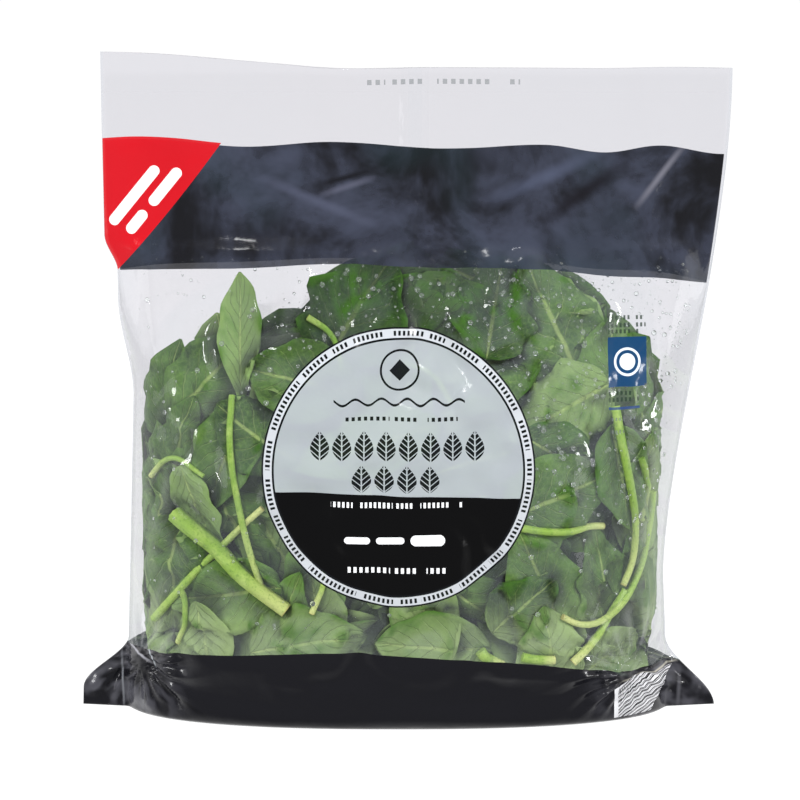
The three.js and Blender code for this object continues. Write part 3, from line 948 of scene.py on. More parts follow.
def stalk_tree(material):
    """Mesh lines to curves, curves to ribbed rods with closed ends."""
    tree, given, result = geometry_tree("stalk_sweep", {
        "Sides": ("NodeSocketInt", 18), "Rib": ("NodeSocketFloat", 0.13),
        "Flatness": ("NodeSocketFloat", 1.0)})
    curve = add_node(tree, "GeometryNodeMeshToCurve", inputs={0: given.outputs["Geometry"]})
    profile = add_node(tree, "GeometryNodeCurvePrimitiveCircle", inputs={
        "Resolution": given.outputs["Sides"], "Radius": 1.0})
    odd = maths_node(tree, "MODULO", add_node(tree, "GeometryNodeInputIndex").outputs[0], 2.0)
    share = maths_node(tree, "SUBTRACT", 1.0, maths_node(tree, "MULTIPLY", odd, given.outputs["Rib"]))
    place = add_node(tree, "GeometryNodeInputPosition")
    ribbed = add_node(tree, "ShaderNodeVectorMath", {"operation": "SCALE"},
                      {0: place.outputs[0], "Scale": share})
    squash = add_node(tree, "ShaderNodeCombineXYZ", inputs={0: 1.0, 1: given.outputs["Flatness"], 2: 1.0})
    flat = add_node(tree, "ShaderNodeVectorMath", {"operation": "MULTIPLY"},
                    {0: ribbed.outputs[0], 1: squash.outputs[0]})
    shaped = add_node(tree, "GeometryNodeSetPosition", inputs={
        "Geometry": profile.outputs[0], "Position": flat.outputs[0]})
    swept = add_node(tree, "GeometryNodeCurveToMesh", inputs={
        "Curve": curve.outputs[0], "Profile Curve": shaped.outputs[0],
        "Scale": stored_number(tree, "stalk_radius"), "Fill Caps": True})
    soft = add_node(tree, "GeometryNodeSetShadeSmooth", inputs={0: swept.outputs[0]})
    solid = add_node(tree, "GeometryNodeRealizeInstances", inputs={0: soft.outputs[0]})
    coloured = add_node(tree, "GeometryNodeSetMaterial", inputs={0: solid.outputs[0], "Material": material})
    tree.links.new(coloured.outputs[0], result.inputs[0])
    return tree


# %% [markdown]
# ## The film
# The film is one closed sheet: a front, a back, two side edges, a seal at the top and a folded base.
# We build it as rings of points, from the floor up. It follows the form, lies over the leaves, and has
# the folds and waves that we set up before.

# %% Rings of points from the floor up
FILM_COLUMNS = 188
EDGE_CROWDING = 0.5
LEAST_STAND = 0.3 * MM  # no sheet comes nearer to the middle plane
BACK_SEAM_X, BACK_SEAM_HALF = 6 * MM, 6 * MM  # the lapped seam that closes the tube at the back
SEAM_HEIGHT, SEAM_SLOPE = 0.5 * MM, 0.8 * MM
FILM_ROWS = np.concatenate([
    np.linspace(0, 7, 8)[:-1], np.linspace(7, 38, 42)[:-1], np.linspace(38, 204, 124)[:-1],
    np.linspace(204, 281, 50)]) * MM


def film_sheet(front):
    """Points of one sheet, with what the material needs to know about them."""
    even = np.linspace(-1, 1, FILM_COLUMNS + 1)
    share = (1 - EDGE_CROWDING) * even + EDGE_CROWDING * np.sin(math.pi / 2 * even)
    share, z = np.meshgrid(share, FILM_ROWS)
    left, right = left_side(z), right_side(z)
    x = (left + right) / 2 + share * (right - left) / 2
    gap = half_gap(x, z)
    rim = np.minimum(x - left, right - x)
    heights = np.clip(FILM_ROWS, PILE_FLOOR, PILE_CEILING)
    turns = np.array([turn_at(row, height, front) for row, height in zip(x, heights)])
    drape = read_map(film_relief, turns, z) * inside_share(x, z)
    folds = film_folds(x, z, front) * ease(rim, 0.0, 6 * MM)
    seam = 0.0
    if not front:
        seam = SEAM_HEIGHT * ease(np.abs(x - BACK_SEAM_X), BACK_SEAM_HALF + SEAM_SLOPE, BACK_SEAM_HALF)
    out = np.maximum(gap + drape + folds + seam, LEAST_STAND)
    y = header_wave(x, z) + (-out if front else out)
    touch = read_map(contact, turns, z) * inside_share(x, z)
    return np.stack([x, y, z + lift(x, z)], axis=-1), rim, touch


# %% The closed film
front_sheet, back_sheet = film_sheet(True), film_sheet(False)


def build_film():
    """Front and back joined to one closed sheet."""
    rows, columns = front_sheet[1].shape
    ring = [np.concatenate([a, b[:, ::-1]], axis=1) for a, b in zip(front_sheet, back_sheet)]
    around = 2 * columns
    index = np.arange(rows * around).reshape(rows, around)
    right = np.roll(index, -1, axis=1)
    walls = np.stack([index[:-1], right[:-1], right[1:], index[1:]], axis=-1).reshape(-1, 4)
    low, high = index[0], index[-1]
    k = np.arange(columns - 1)
    base = np.stack([low[k], low[around - 1 - k], low[around - 2 - k], low[k + 1]], axis=1)
    top = np.stack([high[k], high[k + 1], high[around - 2 - k], high[around - 1 - k]], axis=1)
    film = add_object("film_bag", ring[0].reshape(-1, 3), np.vstack([walls, base, top]))
    store(film, "rim", ring[1])
    store(film, "touch", ring[2])
    store(film, "front", np.tile(np.repeat([1.0, 0.0], columns), rows))
    return film


film = build_film()
print("film:", len(film.data.polygons), "quads")

# %% [markdown]
# ## Shader maths as Python
# A printed bag is a picture made of simple fields: bands, a disc, a ring, bars. Each is a formula of the
# place on the film. Wiring such formulas by hand takes hundreds of clicks, so we wrap a socket in a
# small class whose + - * / add the Math nodes for us.

# %% The class that turns sums into nodes
class Value:
    """A number that varies over a surface, as the output of some node."""

    def __init__(self, paint, socket):
        self.paint, self.socket = paint, socket

    def maths(self, operation, *others):
        inputs = dict(enumerate([self, *others]))
        return self.paint.node("ShaderNodeMath", {"operation": operation}, inputs)

    def __add__(self, other):
        return self.maths("ADD", other)

    def __sub__(self, other):
        return self.maths("SUBTRACT", other)

    def __mul__(self, other):
        return self.maths("MULTIPLY", other)

    def __truediv__(self, other):
        return self.maths("DIVIDE", other)

    def __rsub__(self, other):
        return (self * -1.0) + other

    def __lt__(self, other):
        return self.maths("LESS_THAN", other)

    def __gt__(self, other):
        return self.maths("GREATER_THAN", other)

    def __abs__(self):
        return self.maths("ABSOLUTE")

    __radd__, __rmul__ = __add__, __mul__

    def high(self, other):
        return self.maths("MAXIMUM", other)

    def low(self, other):
        return self.maths("MINIMUM", other)

    def fraction(self):
        return self.maths("FRACT")

    def steps(self, start, end):
        """0 before start, 1 after end."""
        settings = {"interpolation_type": "SMOOTHSTEP"}
        inputs = {"Value": self, "From Min": start, "From Max": end}
        return self.paint.node("ShaderNodeMapRange", settings, inputs)


# %% A material under construction
class Paint:
    """A material under construction."""

    def __init__(self, name):
        self.material = bpy.data.materials.new(name)
        self.material.use_nodes = True
        self.tree = self.material.node_tree
        self.tree.nodes.clear()

    def node(self, kind, settings=None, inputs=None, output=0):
        """Add any node; sockets take numbers, colours or Values."""
        plain = {k: v.socket if isinstance(v, Value) else v for k, v in (inputs or {}).items()}
        made = add_node(self.tree, kind, settings, plain)
        return Value(self, made.outputs[output])

    def place(self):
        """x, y and z of the point, in metres."""
        spot = self.node("ShaderNodeTexCoord", output="Object")
        split = add_node(self.tree, "ShaderNodeSeparateXYZ", inputs={0: spot.socket})
        return spot, [Value(self, split.outputs[k]) for k in range(3)]

    def stored(self, name):
        return self.node("ShaderNodeAttribute", {"attribute_name": name}, output="Fac")

    def noise(self, where, scale, detail=3.0, rough=0.55, distortion=0.0):
        inputs = {"Vector": where, "Scale": scale, "Detail": detail, "Roughness": rough}
        return self.node("ShaderNodeTexNoise", inputs={**inputs, "Distortion": distortion})

    def blend(self, share, first, second):
        """Mix two colours."""
        return self.node("ShaderNodeMix", {"data_type": "RGBA"}, {0: share, 6: first, 7: second}, 2)

    def layers(self, colour, *tints):
        """Lay tints over a colour, each given as its share and its own colour."""
        for share, tint in tints:
            colour = self.blend(share, colour, tint)
        return colour

    def mix(self, share, first, second):
        """Mix two shaders."""
        return self.node("ShaderNodeMixShader", None, {0: share, 1: first, 2: second})

    def bump(self, height, strength, distance):
        inputs = {"Height": height, "Strength": strength, "Distance": distance}
        return self.node("ShaderNodeBump", inputs=inputs)

    def principled(self, **sockets):
        inputs = {key.replace("_", " "): value for key, value in sockets.items()}
        return self.node("ShaderNodeBsdfPrincipled", inputs=inputs)

    def finish(self, shader):
        add_node(self.tree, "ShaderNodeOutputMaterial", inputs={0: shader.socket})
        return self.material


# %% Colours
def rgb(red, green, blue):
    """A colour given as on a screen, 0 to 255, in Blender's linear light."""
    return tuple((v / 255) ** 2.2 for v in (red, green, blue)) + (1.0,)


WHITE = rgb(255, 255, 255)
print("a middle grey in linear light:", round(rgb(128, 128, 128)[0], 3))


# %% [markdown]
# ## Leaf and stalk
# A spinach leaf is never one green. Its upper side is deep and a little waxy, its underside paler, the
# veins are lighter than the blade, and each leaf has its own tone. The veins follow the blade's UV map:
# a midrib along the middle, and side veins that leave it at a slant.

# %% Leaf material
def wet_patches(paint, where):
    """1 in the patches where water joins a leaf to the film; leaves and film share them."""
    return paint.noise(where, 32.0, 3.0, 0.6).steps(0.47, 0.54)


def leaf_material():
    paint = Paint("spinach_leaf")
    where, (x, _, z) = paint.place()
    uv = paint.node("ShaderNodeUVMap", {"uv_map": "blade"})
    split = add_node(paint.tree, "ShaderNodeSeparateXYZ", inputs={0: uv.socket})
    along, across = Value(paint, split.outputs[0]), abs(Value(paint, split.outputs[1]) * 2.0 - 1.0)
    tone, under, deep = paint.stored("tone"), paint.stored("under"), paint.stored("deep")
    cloud, crinkle, fine = paint.noise(where, 90.0), paint.noise(where, 210.0), paint.noise(where, 700.0, 2.0)
    midrib = 1.0 - across.steps(0.02, 0.075)
    slant = along * 8.0 - across * 2.6 + (cloud - 0.5) * 0.9
    side = (abs(slant.fraction() - 0.5) * 2.0).steps(0.8, 1.0) * (1.0 - across.steps(0.4, 0.95))
    cells = {"Vector": where, "Scale": 330.0}
    net = 1.0 - paint.node("ShaderNodeTexVoronoi", {"feature": "DISTANCE_TO_EDGE"}, cells).steps(0.0, 0.12)
    wet = paint.stored("wet") * wet_patches(paint, where)
    # Painted shade: leaves high up in the middle of the pile are darkened, as in the shadow under the band.
    top_middle_shade = (1.0 - abs(x + 6 * MM).steps(40 * MM, 75 * MM)) * z.steps(150 * MM, 178 * MM)
    low_down = 1.0 - z.steps(38 * MM, 66 * MM)
    shade = (tone * 0.85 + cloud * 1.1 - 0.5).low(1.0).high(0.0)
    colour = paint.layers(
        paint.blend(shade, rgb(26, 54, 17), rgb(98, 134, 60)),
        (under * 0.5, rgb(142, 166, 104)),
        (fine.steps(0.45, 0.75) * 0.25, rgb(110, 148, 58)),
        (side * 0.3 + net * 0.08, rgb(148, 174, 100)),
        (midrib * (0.66 - along * 0.3), rgb(164, 186, 108)),
        # painted shade high in the middle of the pile
        (top_middle_shade * 0.7, rgb(20, 44, 11)),
        (low_down * 0.4, rgb(166, 184, 128)),
        (wet * 0.8, rgb(56, 98, 14)),
        # painted shade: the deeper a leaf lies under the film, the darker it is
        (deep * 0.8, rgb(16, 26, 13)),
    )
    height = cloud * 0.5 + crinkle * 0.75 + fine * 0.12 - side * 0.5 - midrib * 0.4
    shader = paint.principled(Base_Color=colour, Roughness=0.4 + fine * 0.16, Specular_IOR_Level=0.3,
                              Normal=paint.bump(height, 0.9, 1.0 * MM))
    return paint.finish(shader)


# %% Stalk material, and the dark one of the core
def stalk_material():
    paint = Paint("spinach_stalk")
    where, _ = paint.place()
    tone, root = paint.stored("tone"), paint.stored("root")
    cloud, grain = paint.noise(where, 160.0), paint.noise(where, 900.0, 2.0)
    colour = paint.layers(
        paint.blend(tone, rgb(86, 126, 40), rgb(144, 178, 74)),
        (root.steps(0.5, 1.0) * tone * 0.85, rgb(206, 208, 138)),
        (cloud.steps(0.42, 0.7) * 0.45, rgb(176, 198, 110)),
        (grain.steps(0.48, 0.75) * 0.5, rgb(72, 114, 30)),
        (root.steps(0.985, 1.0) * 0.5, rgb(150, 128, 70)),
    )
    shader = paint.principled(Base_Color=colour, Roughness=0.36 + grain * 0.15, Specular_IOR_Level=0.45,
                              Normal=paint.bump(cloud * 0.8 + grain * 0.4, 0.6, 0.6 * MM))
    return paint.finish(shader)


def core_material():
    paint = Paint("spinach_shade")
    where, _ = paint.place()
    cloud = paint.noise(where, 140.0, 5.0)
    # Painted shade: the core stands for leaves deep in the pile, so its greens are dark.
    colour = paint.blend(cloud.steps(0.35, 0.7), rgb(24, 38, 16), rgb(58, 84, 36))
    shader = paint.principled(Base_Color=colour, Roughness=0.6 + cloud * 0.2,
                              Normal=paint.bump(cloud, 1.0, 2 * MM))
    return paint.finish(shader)


# %% Leaves, core and stalks get their looks
leaf_look, stalk_look, core_look = leaf_material(), stalk_material(), core_material()
for piece in (outer_leaves, inner_leaves):
    piece.data.materials.append(leaf_look)
core.data.materials.append(core_look)
stems = grow(stalk_lines(), stalk_tree(stalk_look), {"Flatness": FLATNESS})
print("stalks:", len(stems.data.polygons), "faces")

# %% [markdown]
# ## The printed film
# The bands, the disc and the corner are fields in x and z, with the sizes read off the photo. Bars,
# short strokes and plain leaf shapes of the same scale stand in for words. Where there is no print the
# film is nearly all see-through, with a faint haze that clears where a wet leaf touches it. An image
# could hold such a print too, but a formula stays sharp at any size.

# %% Fields of the print
LABEL_X, LABEL_Z, LABEL_RADIUS = -1.1 * MM, 114.8 * MM, 57.8 * MM
LABEL_LINE = 0.45 * MM
RING_INNER = 53.0 * MM
SEGMENT_Z, SEGMENT_SLOPE = 104.6 * MM, -0.0237  # the straight top edge of the label's dark part
HIGH_BAND_TOP, HIGH_BAND_LOW, LOW_BAND_TOP = 247.6 * MM, 197.2 * MM, 35.5 * MM
CORNER_LOWEST = 193.6 * MM


def inside_box(x, z, x0, x1, z0, z1):
    """1 in a box, given in millimetres."""
    return (x > x0 * MM) * (x < x1 * MM) * (z > z0 * MM) * (z < z1 * MM)


def leaf_row(x, z, x0, x1, middle, pitch, tall):
    """A row of plain leaf shapes with a slit for the midrib, in millimetres."""
    local = (((x - x0 * MM) / (pitch * MM)).fraction() - 0.5) * (pitch * MM)
    rise = (z - middle * MM) * (2 / (tall * MM))
    body = abs(local) < (1.0 - rise * rise) * (0.74 - 0.3 * rise) * (0.56 * pitch * MM)
    midrib = abs(local) > 0.3 * MM
    veins = ((z - abs(local) * 0.8) / (2.3 * MM)).fraction() > 0.2
    return inside_box(x, z, x0, x1, middle - tall, middle + tall) * body * midrib * veins


def pill(x, z, x0, x1, middle, thick):
    """A bar with round ends, in millimetres: a stand-in for a word."""
    reach = ((x1 - x0) / 2 - thick / 2) * MM
    dx = (abs(x - (x0 + x1) / 2 * MM) - reach).high(0.0)
    dz = z - middle * MM
    return dx * dx + dz * dz < (thick / 2 * MM) ** 2


def ticks(turn):
    """Short strokes in groups of uneven length, one stroke for each full turn: plain small print."""
    groups = (turn * 0.23).maths("SINE") + (turn * 0.141 + 1.0).maths("SINE")
    return (turn.maths("SINE") > -0.1) * (groups > -1.05)


def small_print(x, z, pitch, *boxes):
    """Lines of plain strokes in some boxes: a stand-in for words too small to read."""
    return sum(inside_box(x, z, *box) for box in boxes) * ticks(x * (math.tau / (pitch * MM)))


def painted_crease_stripe(x, z, x0, z0, x1, z1, thick):
    """A soft stripe between two places along a crease, in millimetres: a painted highlight where its colour
    is light, painted shade where it is dark.
    """
    dx, dz = (x1 - x0) * MM, (z1 - z0) * MM
    length = math.hypot(dx, dz)
    share = ((x - x0 * MM) * (dx / length ** 2) + (z - z0 * MM) * (dz / length ** 2)).low(1.0).high(0.0)
    away = abs((x - x0 * MM) * (dz / length) - (z - z0 * MM) * (dx / length))
    return (1.0 - away.steps(0.0, thick * MM)) * (share * (1.0 - share) * 4.0)


# %% The two bands, the corner and the patch
CREASE_HIGHLIGHTS_AND_SHADES = [  # from x, z to x, z in mm, width, strength, colour; light colours are painted highlights of creases and folds, dark ones painted shade
    (124, 250, 100, 220, 2.2, 0.9, rgb(104, 104, 114)), (100, 243, 58, 213, 5.5, 0.9, rgb(20, 18, 24)),
    (88, 247, 36, 222, 5.0, 0.6, rgb(74, 80, 100)), (-8, 239, -38, 230, 2.4, 0.9, rgb(14, 13, 18)),
    (-10, 235, -36, 226, 2.2, 0.7, rgb(84, 86, 102)), (-66, 236, -6, 212, 3.4, 0.6, rgb(76, 80, 98)),
    (-123.5, 27, -122.5, -3, 0.8, 0.8, rgb(120, 122, 128)),
    (-113, 37, -106, 22, 0.7, 0.9, rgb(170, 176, 182)),
    (-122, 30, -108, 24, 1.0, 0.9, rgb(160, 160, 168)), (-122, 25, -80, 2, 1.4, 0.8, rgb(10, 10, 14)),
    (-141, 11, -125, 20, 3.0, 0.6, rgb(84, 84, 90)), (94, 18, 124, 20.5, 0.7, 1.0, rgb(166, 162, 150)),
    (96, 16, 120, 18, 0.5, 0.9, rgb(150, 146, 136)), (123.5, 18, 122.5, -3, 1.5, 0.5, rgb(96, 96, 102)),
    (80, 33, 98, 22, 1.6, 0.8, rgb(12, 12, 15)), (86, 27, 99, 20, 1.0, 0.8, rgb(74, 84, 78)),
]
print("streaks in the ink:", len(CREASE_HIGHLIGHTS_AND_SHADES))


def fold_sheen_fan(paint, x, z):
    """Painted sheen of the folds that run out from the two pinched corners: paler patches laid over the black
    ink.
    """
    dx, dz = abs(x + 5.5 * MM) - 106.5 * MM, z - 23 * MM
    away = (dx * dx + dz * dz).maths("SQRT")
    spoke = {0: dx.maths("ARCTAN2", dz), 1: away * 26.0, 2: (x > 0.0) * 3.0}
    spoke = paint.node("ShaderNodeCombineXYZ", None, spoke)
    fade = away.steps(3 * MM, 10 * MM) * dx.steps(-26 * MM, 6 * MM)
    return paint.noise(spoke, 3.4, 1.5, 0.6).steps(0.42, 0.66) * fade


def band_print(paint, where, x, z, front, rim, wide, mottle):
    """Colour and cover of the two bands, the corner and the patch."""
    bends = (x + 46.5 * MM) / (43 * MM) + (x - 62 * MM).high(0.0) / (60 * MM)
    wobble = (wide - 0.5) * (1.6 * MM) + (bends * math.pi).maths("SINE") * (1.5 * MM)
    high_top = HIGH_BAND_TOP - x * 0.014 + wobble
    high_low = HIGH_BAND_LOW - x * 0.0152 - x * x * 0.353 + wobble * 0.4
    high_band = (z > high_low) * (z < high_top) * (rim > 1.3 * MM)
    low_edge = LOW_BAND_TOP - x * 0.046 - x * x * 0.885 + x.steps(98 * MM, 122 * MM) * (3.5 * MM)
    low_band = z < low_edge + wobble * 0.3

    slant = (x + 76 * MM) * 0.772 - (z - 250.5 * MM) * 0.636
    bulge = ((x + 99 * MM) * (x + 99 * MM)) * 2.2
    corner = (slant + bulge < 1.2 * MM) * (z > CORNER_LOWEST) * (z < high_top + 1.2 * MM)
    corner = corner * (rim > 0.2 * MM) * front
    along, depth = (x + 122 * MM) * 0.636 + (z - 194 * MM) * 0.772, slant * -1.0
    words = pill(along, depth, 14, 46, 14.6, 4.8).high(pill(along, depth, 16, 28, 6.6, 4.8))
    words = words.high(pill(along, depth, 31.5, 51, 6.6, 4.8)) * corner
    header_marks = small_print(x, z, 3.6, (-15.5, 51, 273.8, 276.0)) * (1.0 - front)

    px, pz = x - 92.5 * MM, z - 2 * MM
    patch = inside_box(x, z, 92.5, 121, 2, 19) * front * (px - pz * 0.62 < 17 * MM) * low_band
    patch = patch * (pz < 13 * MM + px * 0.5)
    sweep = (pz - px * 0.9 + px * px * 16.0) * (math.tau / (1.7 * MM))
    bars = (sweep.maths("SINE") + (sweep * 2.4).maths("SINE") > 0.0) * (px > 1.8 * MM)

    # Painted reflection: the lighter blue-grey patches over the near-black ink of the high band.
    reflection_mottle = paint.noise(where, 27.0, 4.0, 0.6, 0.35)
    ink = paint.blend(reflection_mottle.steps(0.36, 0.64), rgb(20, 20, 24), rgb(58, 62, 76))
    ink = paint.blend(wide.steps(0.5, 0.66) * 0.4, ink, rgb(30, 46, 50))
    # Painted sheen: the folds near the bottom corners are painted as paler patches on the low band's
    # near-black ink.
    low_ink_and_sheen = paint.blend(fold_sheen_fan(paint, x, z) * 0.6, rgb(26, 26, 30), rgb(88, 88, 95))
    colour = paint.layers(
        paint.blend(low_band, ink, low_ink_and_sheen),
        # painted highlights and painted shade along the film's creases
        *((painted_crease_stripe(x, z, *ends) * share, tint) for *ends, share, tint in CREASE_HIGHLIGHTS_AND_SHADES),
        (corner, rgb(188, 22, 33)), (words, rgb(236, 226, 228)), (header_marks, rgb(104, 112, 112)),
        (patch, rgb(214, 214, 218)), (patch * bars, rgb(26, 26, 30)),
    )
    cover = (high_band * (0.90 + mottle * 0.06)).high(low_band).high(corner * 0.98)
    return colour, cover.high(header_marks * 0.55)


# %% The round label and the small box
def label_print(paint, x, z, front):
    """Colour and cover of the round label and the small box beside it."""
    dx, dz = x - LABEL_X, z - LABEL_Z
    away = (dx * dx + dz * dz).maths("SQRT")
    angle = dz.maths("ARCTAN2", dx) / math.tau
    disc, inside = away < LABEL_RADIUS, away < RING_INNER
    ring = disc * (1.0 - inside)
    rims = disc * ((away > LABEL_RADIUS - LABEL_LINE * 1.6) + (abs(away - RING_INNER) < LABEL_LINE)).low(1.0)
    ring_print = ring * ticks(angle * (math.tau * 178)) * (abs(away - (RING_INNER + 2.3 * MM)) < 1.0 * MM)
    segment = inside * (z < SEGMENT_Z + dx * SEGMENT_SLOPE)

    bx, bz = abs(x + 0.5 * MM), abs(z - 155.2 * MM)
    badge = (bx * bx + bz * bz).maths("SQRT")
    wave = abs(z - 142.4 * MM - (x * (math.tau / (11 * MM))).maths("SINE") * (1.3 * MM)) < 0.5 * MM
    dark = (abs(badge - 8.0 * MM) < 0.45 * MM).high(bx + bz < 4.4 * MM)
    dark = dark.high(wave * inside_box(x, z, -28.5, 27, 138.5, 146.5))
    dark = dark.high(small_print(x, z, 2.6, (-27, 24, 135.0, 136.6)))
    dark = dark.high(leaf_row(x, z, -39, 35.9, 124.9, 9.36, 12.4))
    dark = dark.high(leaf_row(x, z, -21.5, 16.9, 111.5, 9.6, 11.6)).high(rims).high(ring_print)
    light = small_print(x, z, 1.9, (-29.5, 26.5, 99.8, 102.0))
    light = light.high(small_print(x, z, 2.5, (-24, 19, 71.8, 74.2)))
    for x0, x1, middle, thick in ((-24, -13, 86, 3), (-10.5, 1.5, 86, 3), (4, 18.6, 86, 4.6)):
        light = light.high(pill(x, z, x0, x1, middle, thick))

    box = inside_box(x, z, 88.4, 105.2, 147.2, 167.4)
    mx, mz = x - 96.8 * MM, z - 157.2 * MM
    mark = (mx * mx + mz * mz).maths("SQRT")
    box_mark = (abs(mark - 5.3 * MM) < 0.5 * MM).high(mark < 3.4 * MM)
    note_rows = ((104, 174.4), (105, 171.4), (102.5, 168.8), (101, 143.8), (101.5, 141.2))
    notes = small_print(x, z, 1.8, *((88.6, end, z0, z0 + 1.7) for end, z0 in note_rows))
    rule = inside_box(x, z, 88.4, 102, 138.0, 139.1)
    faint = small_print(x, z, 1.6, (88.4, 100, 133.4, 134.8), (87, 97, 128.2, 129.6))

    colour = paint.layers(
        rgb(166, 172, 178), (ring, rgb(184, 188, 194)), (segment, rgb(8, 8, 10)), (dark, rgb(20, 22, 26)),
        (light * segment, rgb(232, 234, 236)), (box, rgb(20, 60, 98)), (box_mark, rgb(220, 230, 240)),
        (notes, rgb(44, 60, 48)), (rule, rgb(38, 64, 116)), (faint, rgb(104, 112, 112)),
    )
    cover = (disc * 0.78).high(ring * 0.95).high(segment).high(dark * 0.97).high(box * 0.95)
    cover = cover.high(notes * 0.85).high(rule * 0.8).high(faint * 0.6) * front
    return colour, cover


# %% Clear film, haze, shine and ink
def film_material():
    paint = Paint("printed_film")
    where, (x, _, z) = paint.place()
    front, rim, touch = paint.stored("front") > 0.5, paint.stored("rim"), paint.stored("touch")
    wide = paint.noise(where, 14.0, 2.0)
    mottle = paint.noise(where, 75.0, 3.0, 0.62)
    normal = paint.bump(wide * 1.2 + mottle * 0.45, 0.35, 2.2 * MM)

    damp = x.steps(-30 * MM, 60 * MM) * z.steps(30 * MM, 90 * MM)
    shade = (1.0 - abs(x + 6 * MM).steps(30 * MM, 60 * MM)) * z.steps(150 * MM, 175 * MM)
    haze_amount = 0.062 + damp * 0.03 - touch * 0.042 + (mottle - 0.5) * 0.09 - shade * 0.03
    haze_amount = haze_amount * (1.0 - touch * wet_patches(paint, where))
    haze_amount = haze_amount + (1.0 - z.steps(36 * MM, 56 * MM)) * 0.045
    haze_amount = haze_amount.high(0.004) * (0.35 + 0.65 * z.steps(206 * MM, 192 * MM))
    lapped = (abs(x - BACK_SEAM_X) < BACK_SEAM_HALF) * (1.0 - front)
    welded = (abs(x - BACK_SEAM_X) < BACK_SEAM_HALF * 0.5) * (1.0 - front)
    haze_amount = haze_amount + lapped * 0.03 + welded * 0.04 + (1.0 - rim.steps(0.8 * MM, 1.4 * MM)) * 0.08
    clear = paint.node("ShaderNodeBsdfTransparent", inputs={"Color": (0.885, 0.88, 0.902, 1.0)})
    haze = paint.node("ShaderNodeBsdfDiffuse", inputs={"Color": rgb(176, 186, 192), "Normal": normal})
    shine = paint.node("ShaderNodeBsdfGlossy", inputs={"Color": WHITE, "Roughness": 0.06, "Normal": normal})
    mirror = paint.node("ShaderNodeFresnel", inputs={"IOR": 1.45, "Normal": normal})
    mirror = mirror * (0.2 + 0.8 * rim.steps(0.3 * MM, 3 * MM)) * (0.2 + 0.8 * z.steps(280 * MM, 277 * MM))
    sheet = paint.mix(mirror.low(0.2), paint.mix(haze_amount, clear, haze), shine)

    def printed(colour, cover):
        inked = paint.principled(Base_Color=colour, Roughness=0.08 + mottle * 0.12, Normal=normal,
                                 Specular_IOR_Level=0.34)
        return paint.mix(cover, sheet, inked)

    bands = printed(*band_print(paint, where, x, z, front, rim, wide, mottle))
    label = printed(*label_print(paint, x, z, front))
    near_bands = (z < 42 * MM).high(z > 185 * MM)
    near_label = inside_box(x, z, -62, 110, 54, 180)
    return paint.finish(paint.mix(near_label, paint.mix(near_bands, sheet, bands), label))


film.data.materials.append(film_material())
film.visible_shadow = False  # clear film takes hardly any light away
film.visible_diffuse = False
print("film material:", len(film.data.materials[0].node_tree.nodes), "nodes")

# %% [markdown]
# ## Drops of water
# Washed leaves breathe, and the water settles inside the film as small drops, more of them high up and
# on the right. Geometry Nodes scatter them: a density on the sheet says where, a random size says how
# large, and each drop is a low flat dome of few faces.

# %% The sheet that carries the drops
def drop_sheet():
    """A copy of the front's upper part, a little inside the film, with the density of drops."""
    points, rim, _ = front_sheet
    keep = points[::2, ::2].copy()
    keep[..., 1] += 0.5 * MM
    rows, columns = keep.shape[:2]
    index = np.arange(rows * columns).reshape(rows, columns)
    faces = np.stack([index[:-1, :-1], index[:-1, 1:], index[1:, 1:], index[1:, :-1]], axis=-1)
    sheet = add_object("water_drops", keep.reshape(-1, 3), faces.reshape(-1, 4))
    x, z = keep[..., 0], keep[..., 2]
    right = ease(x, -10 * MM, 60 * MM) * ease(z, 60 * MM, 150 * MM)
    top = ease(z, 130 * MM, 172 * MM) * (0.15 + 0.85 * ease(x, -60 * MM, -30 * MM))
    density = (0.10 + 0.75 * right + 0.65 * top) * ease(z, 208 * MM, 196 * MM) * ease(z, 40 * MM, 60 * MM)
    label = np.hypot(x - LABEL_X, z - LABEL_Z) < LABEL_RADIUS + 1.5 * MM
    density = density * ease(rim[::2, ::2], 3 * MM, 10 * MM) * np.where(label, 0.0, 1.0)
    store(sheet, "density", np.clip(density, 0, 1))
    return sheet


# %% The tree that scatters the drops
DOME_HEIGHT = 0.42  # of a drop's radius


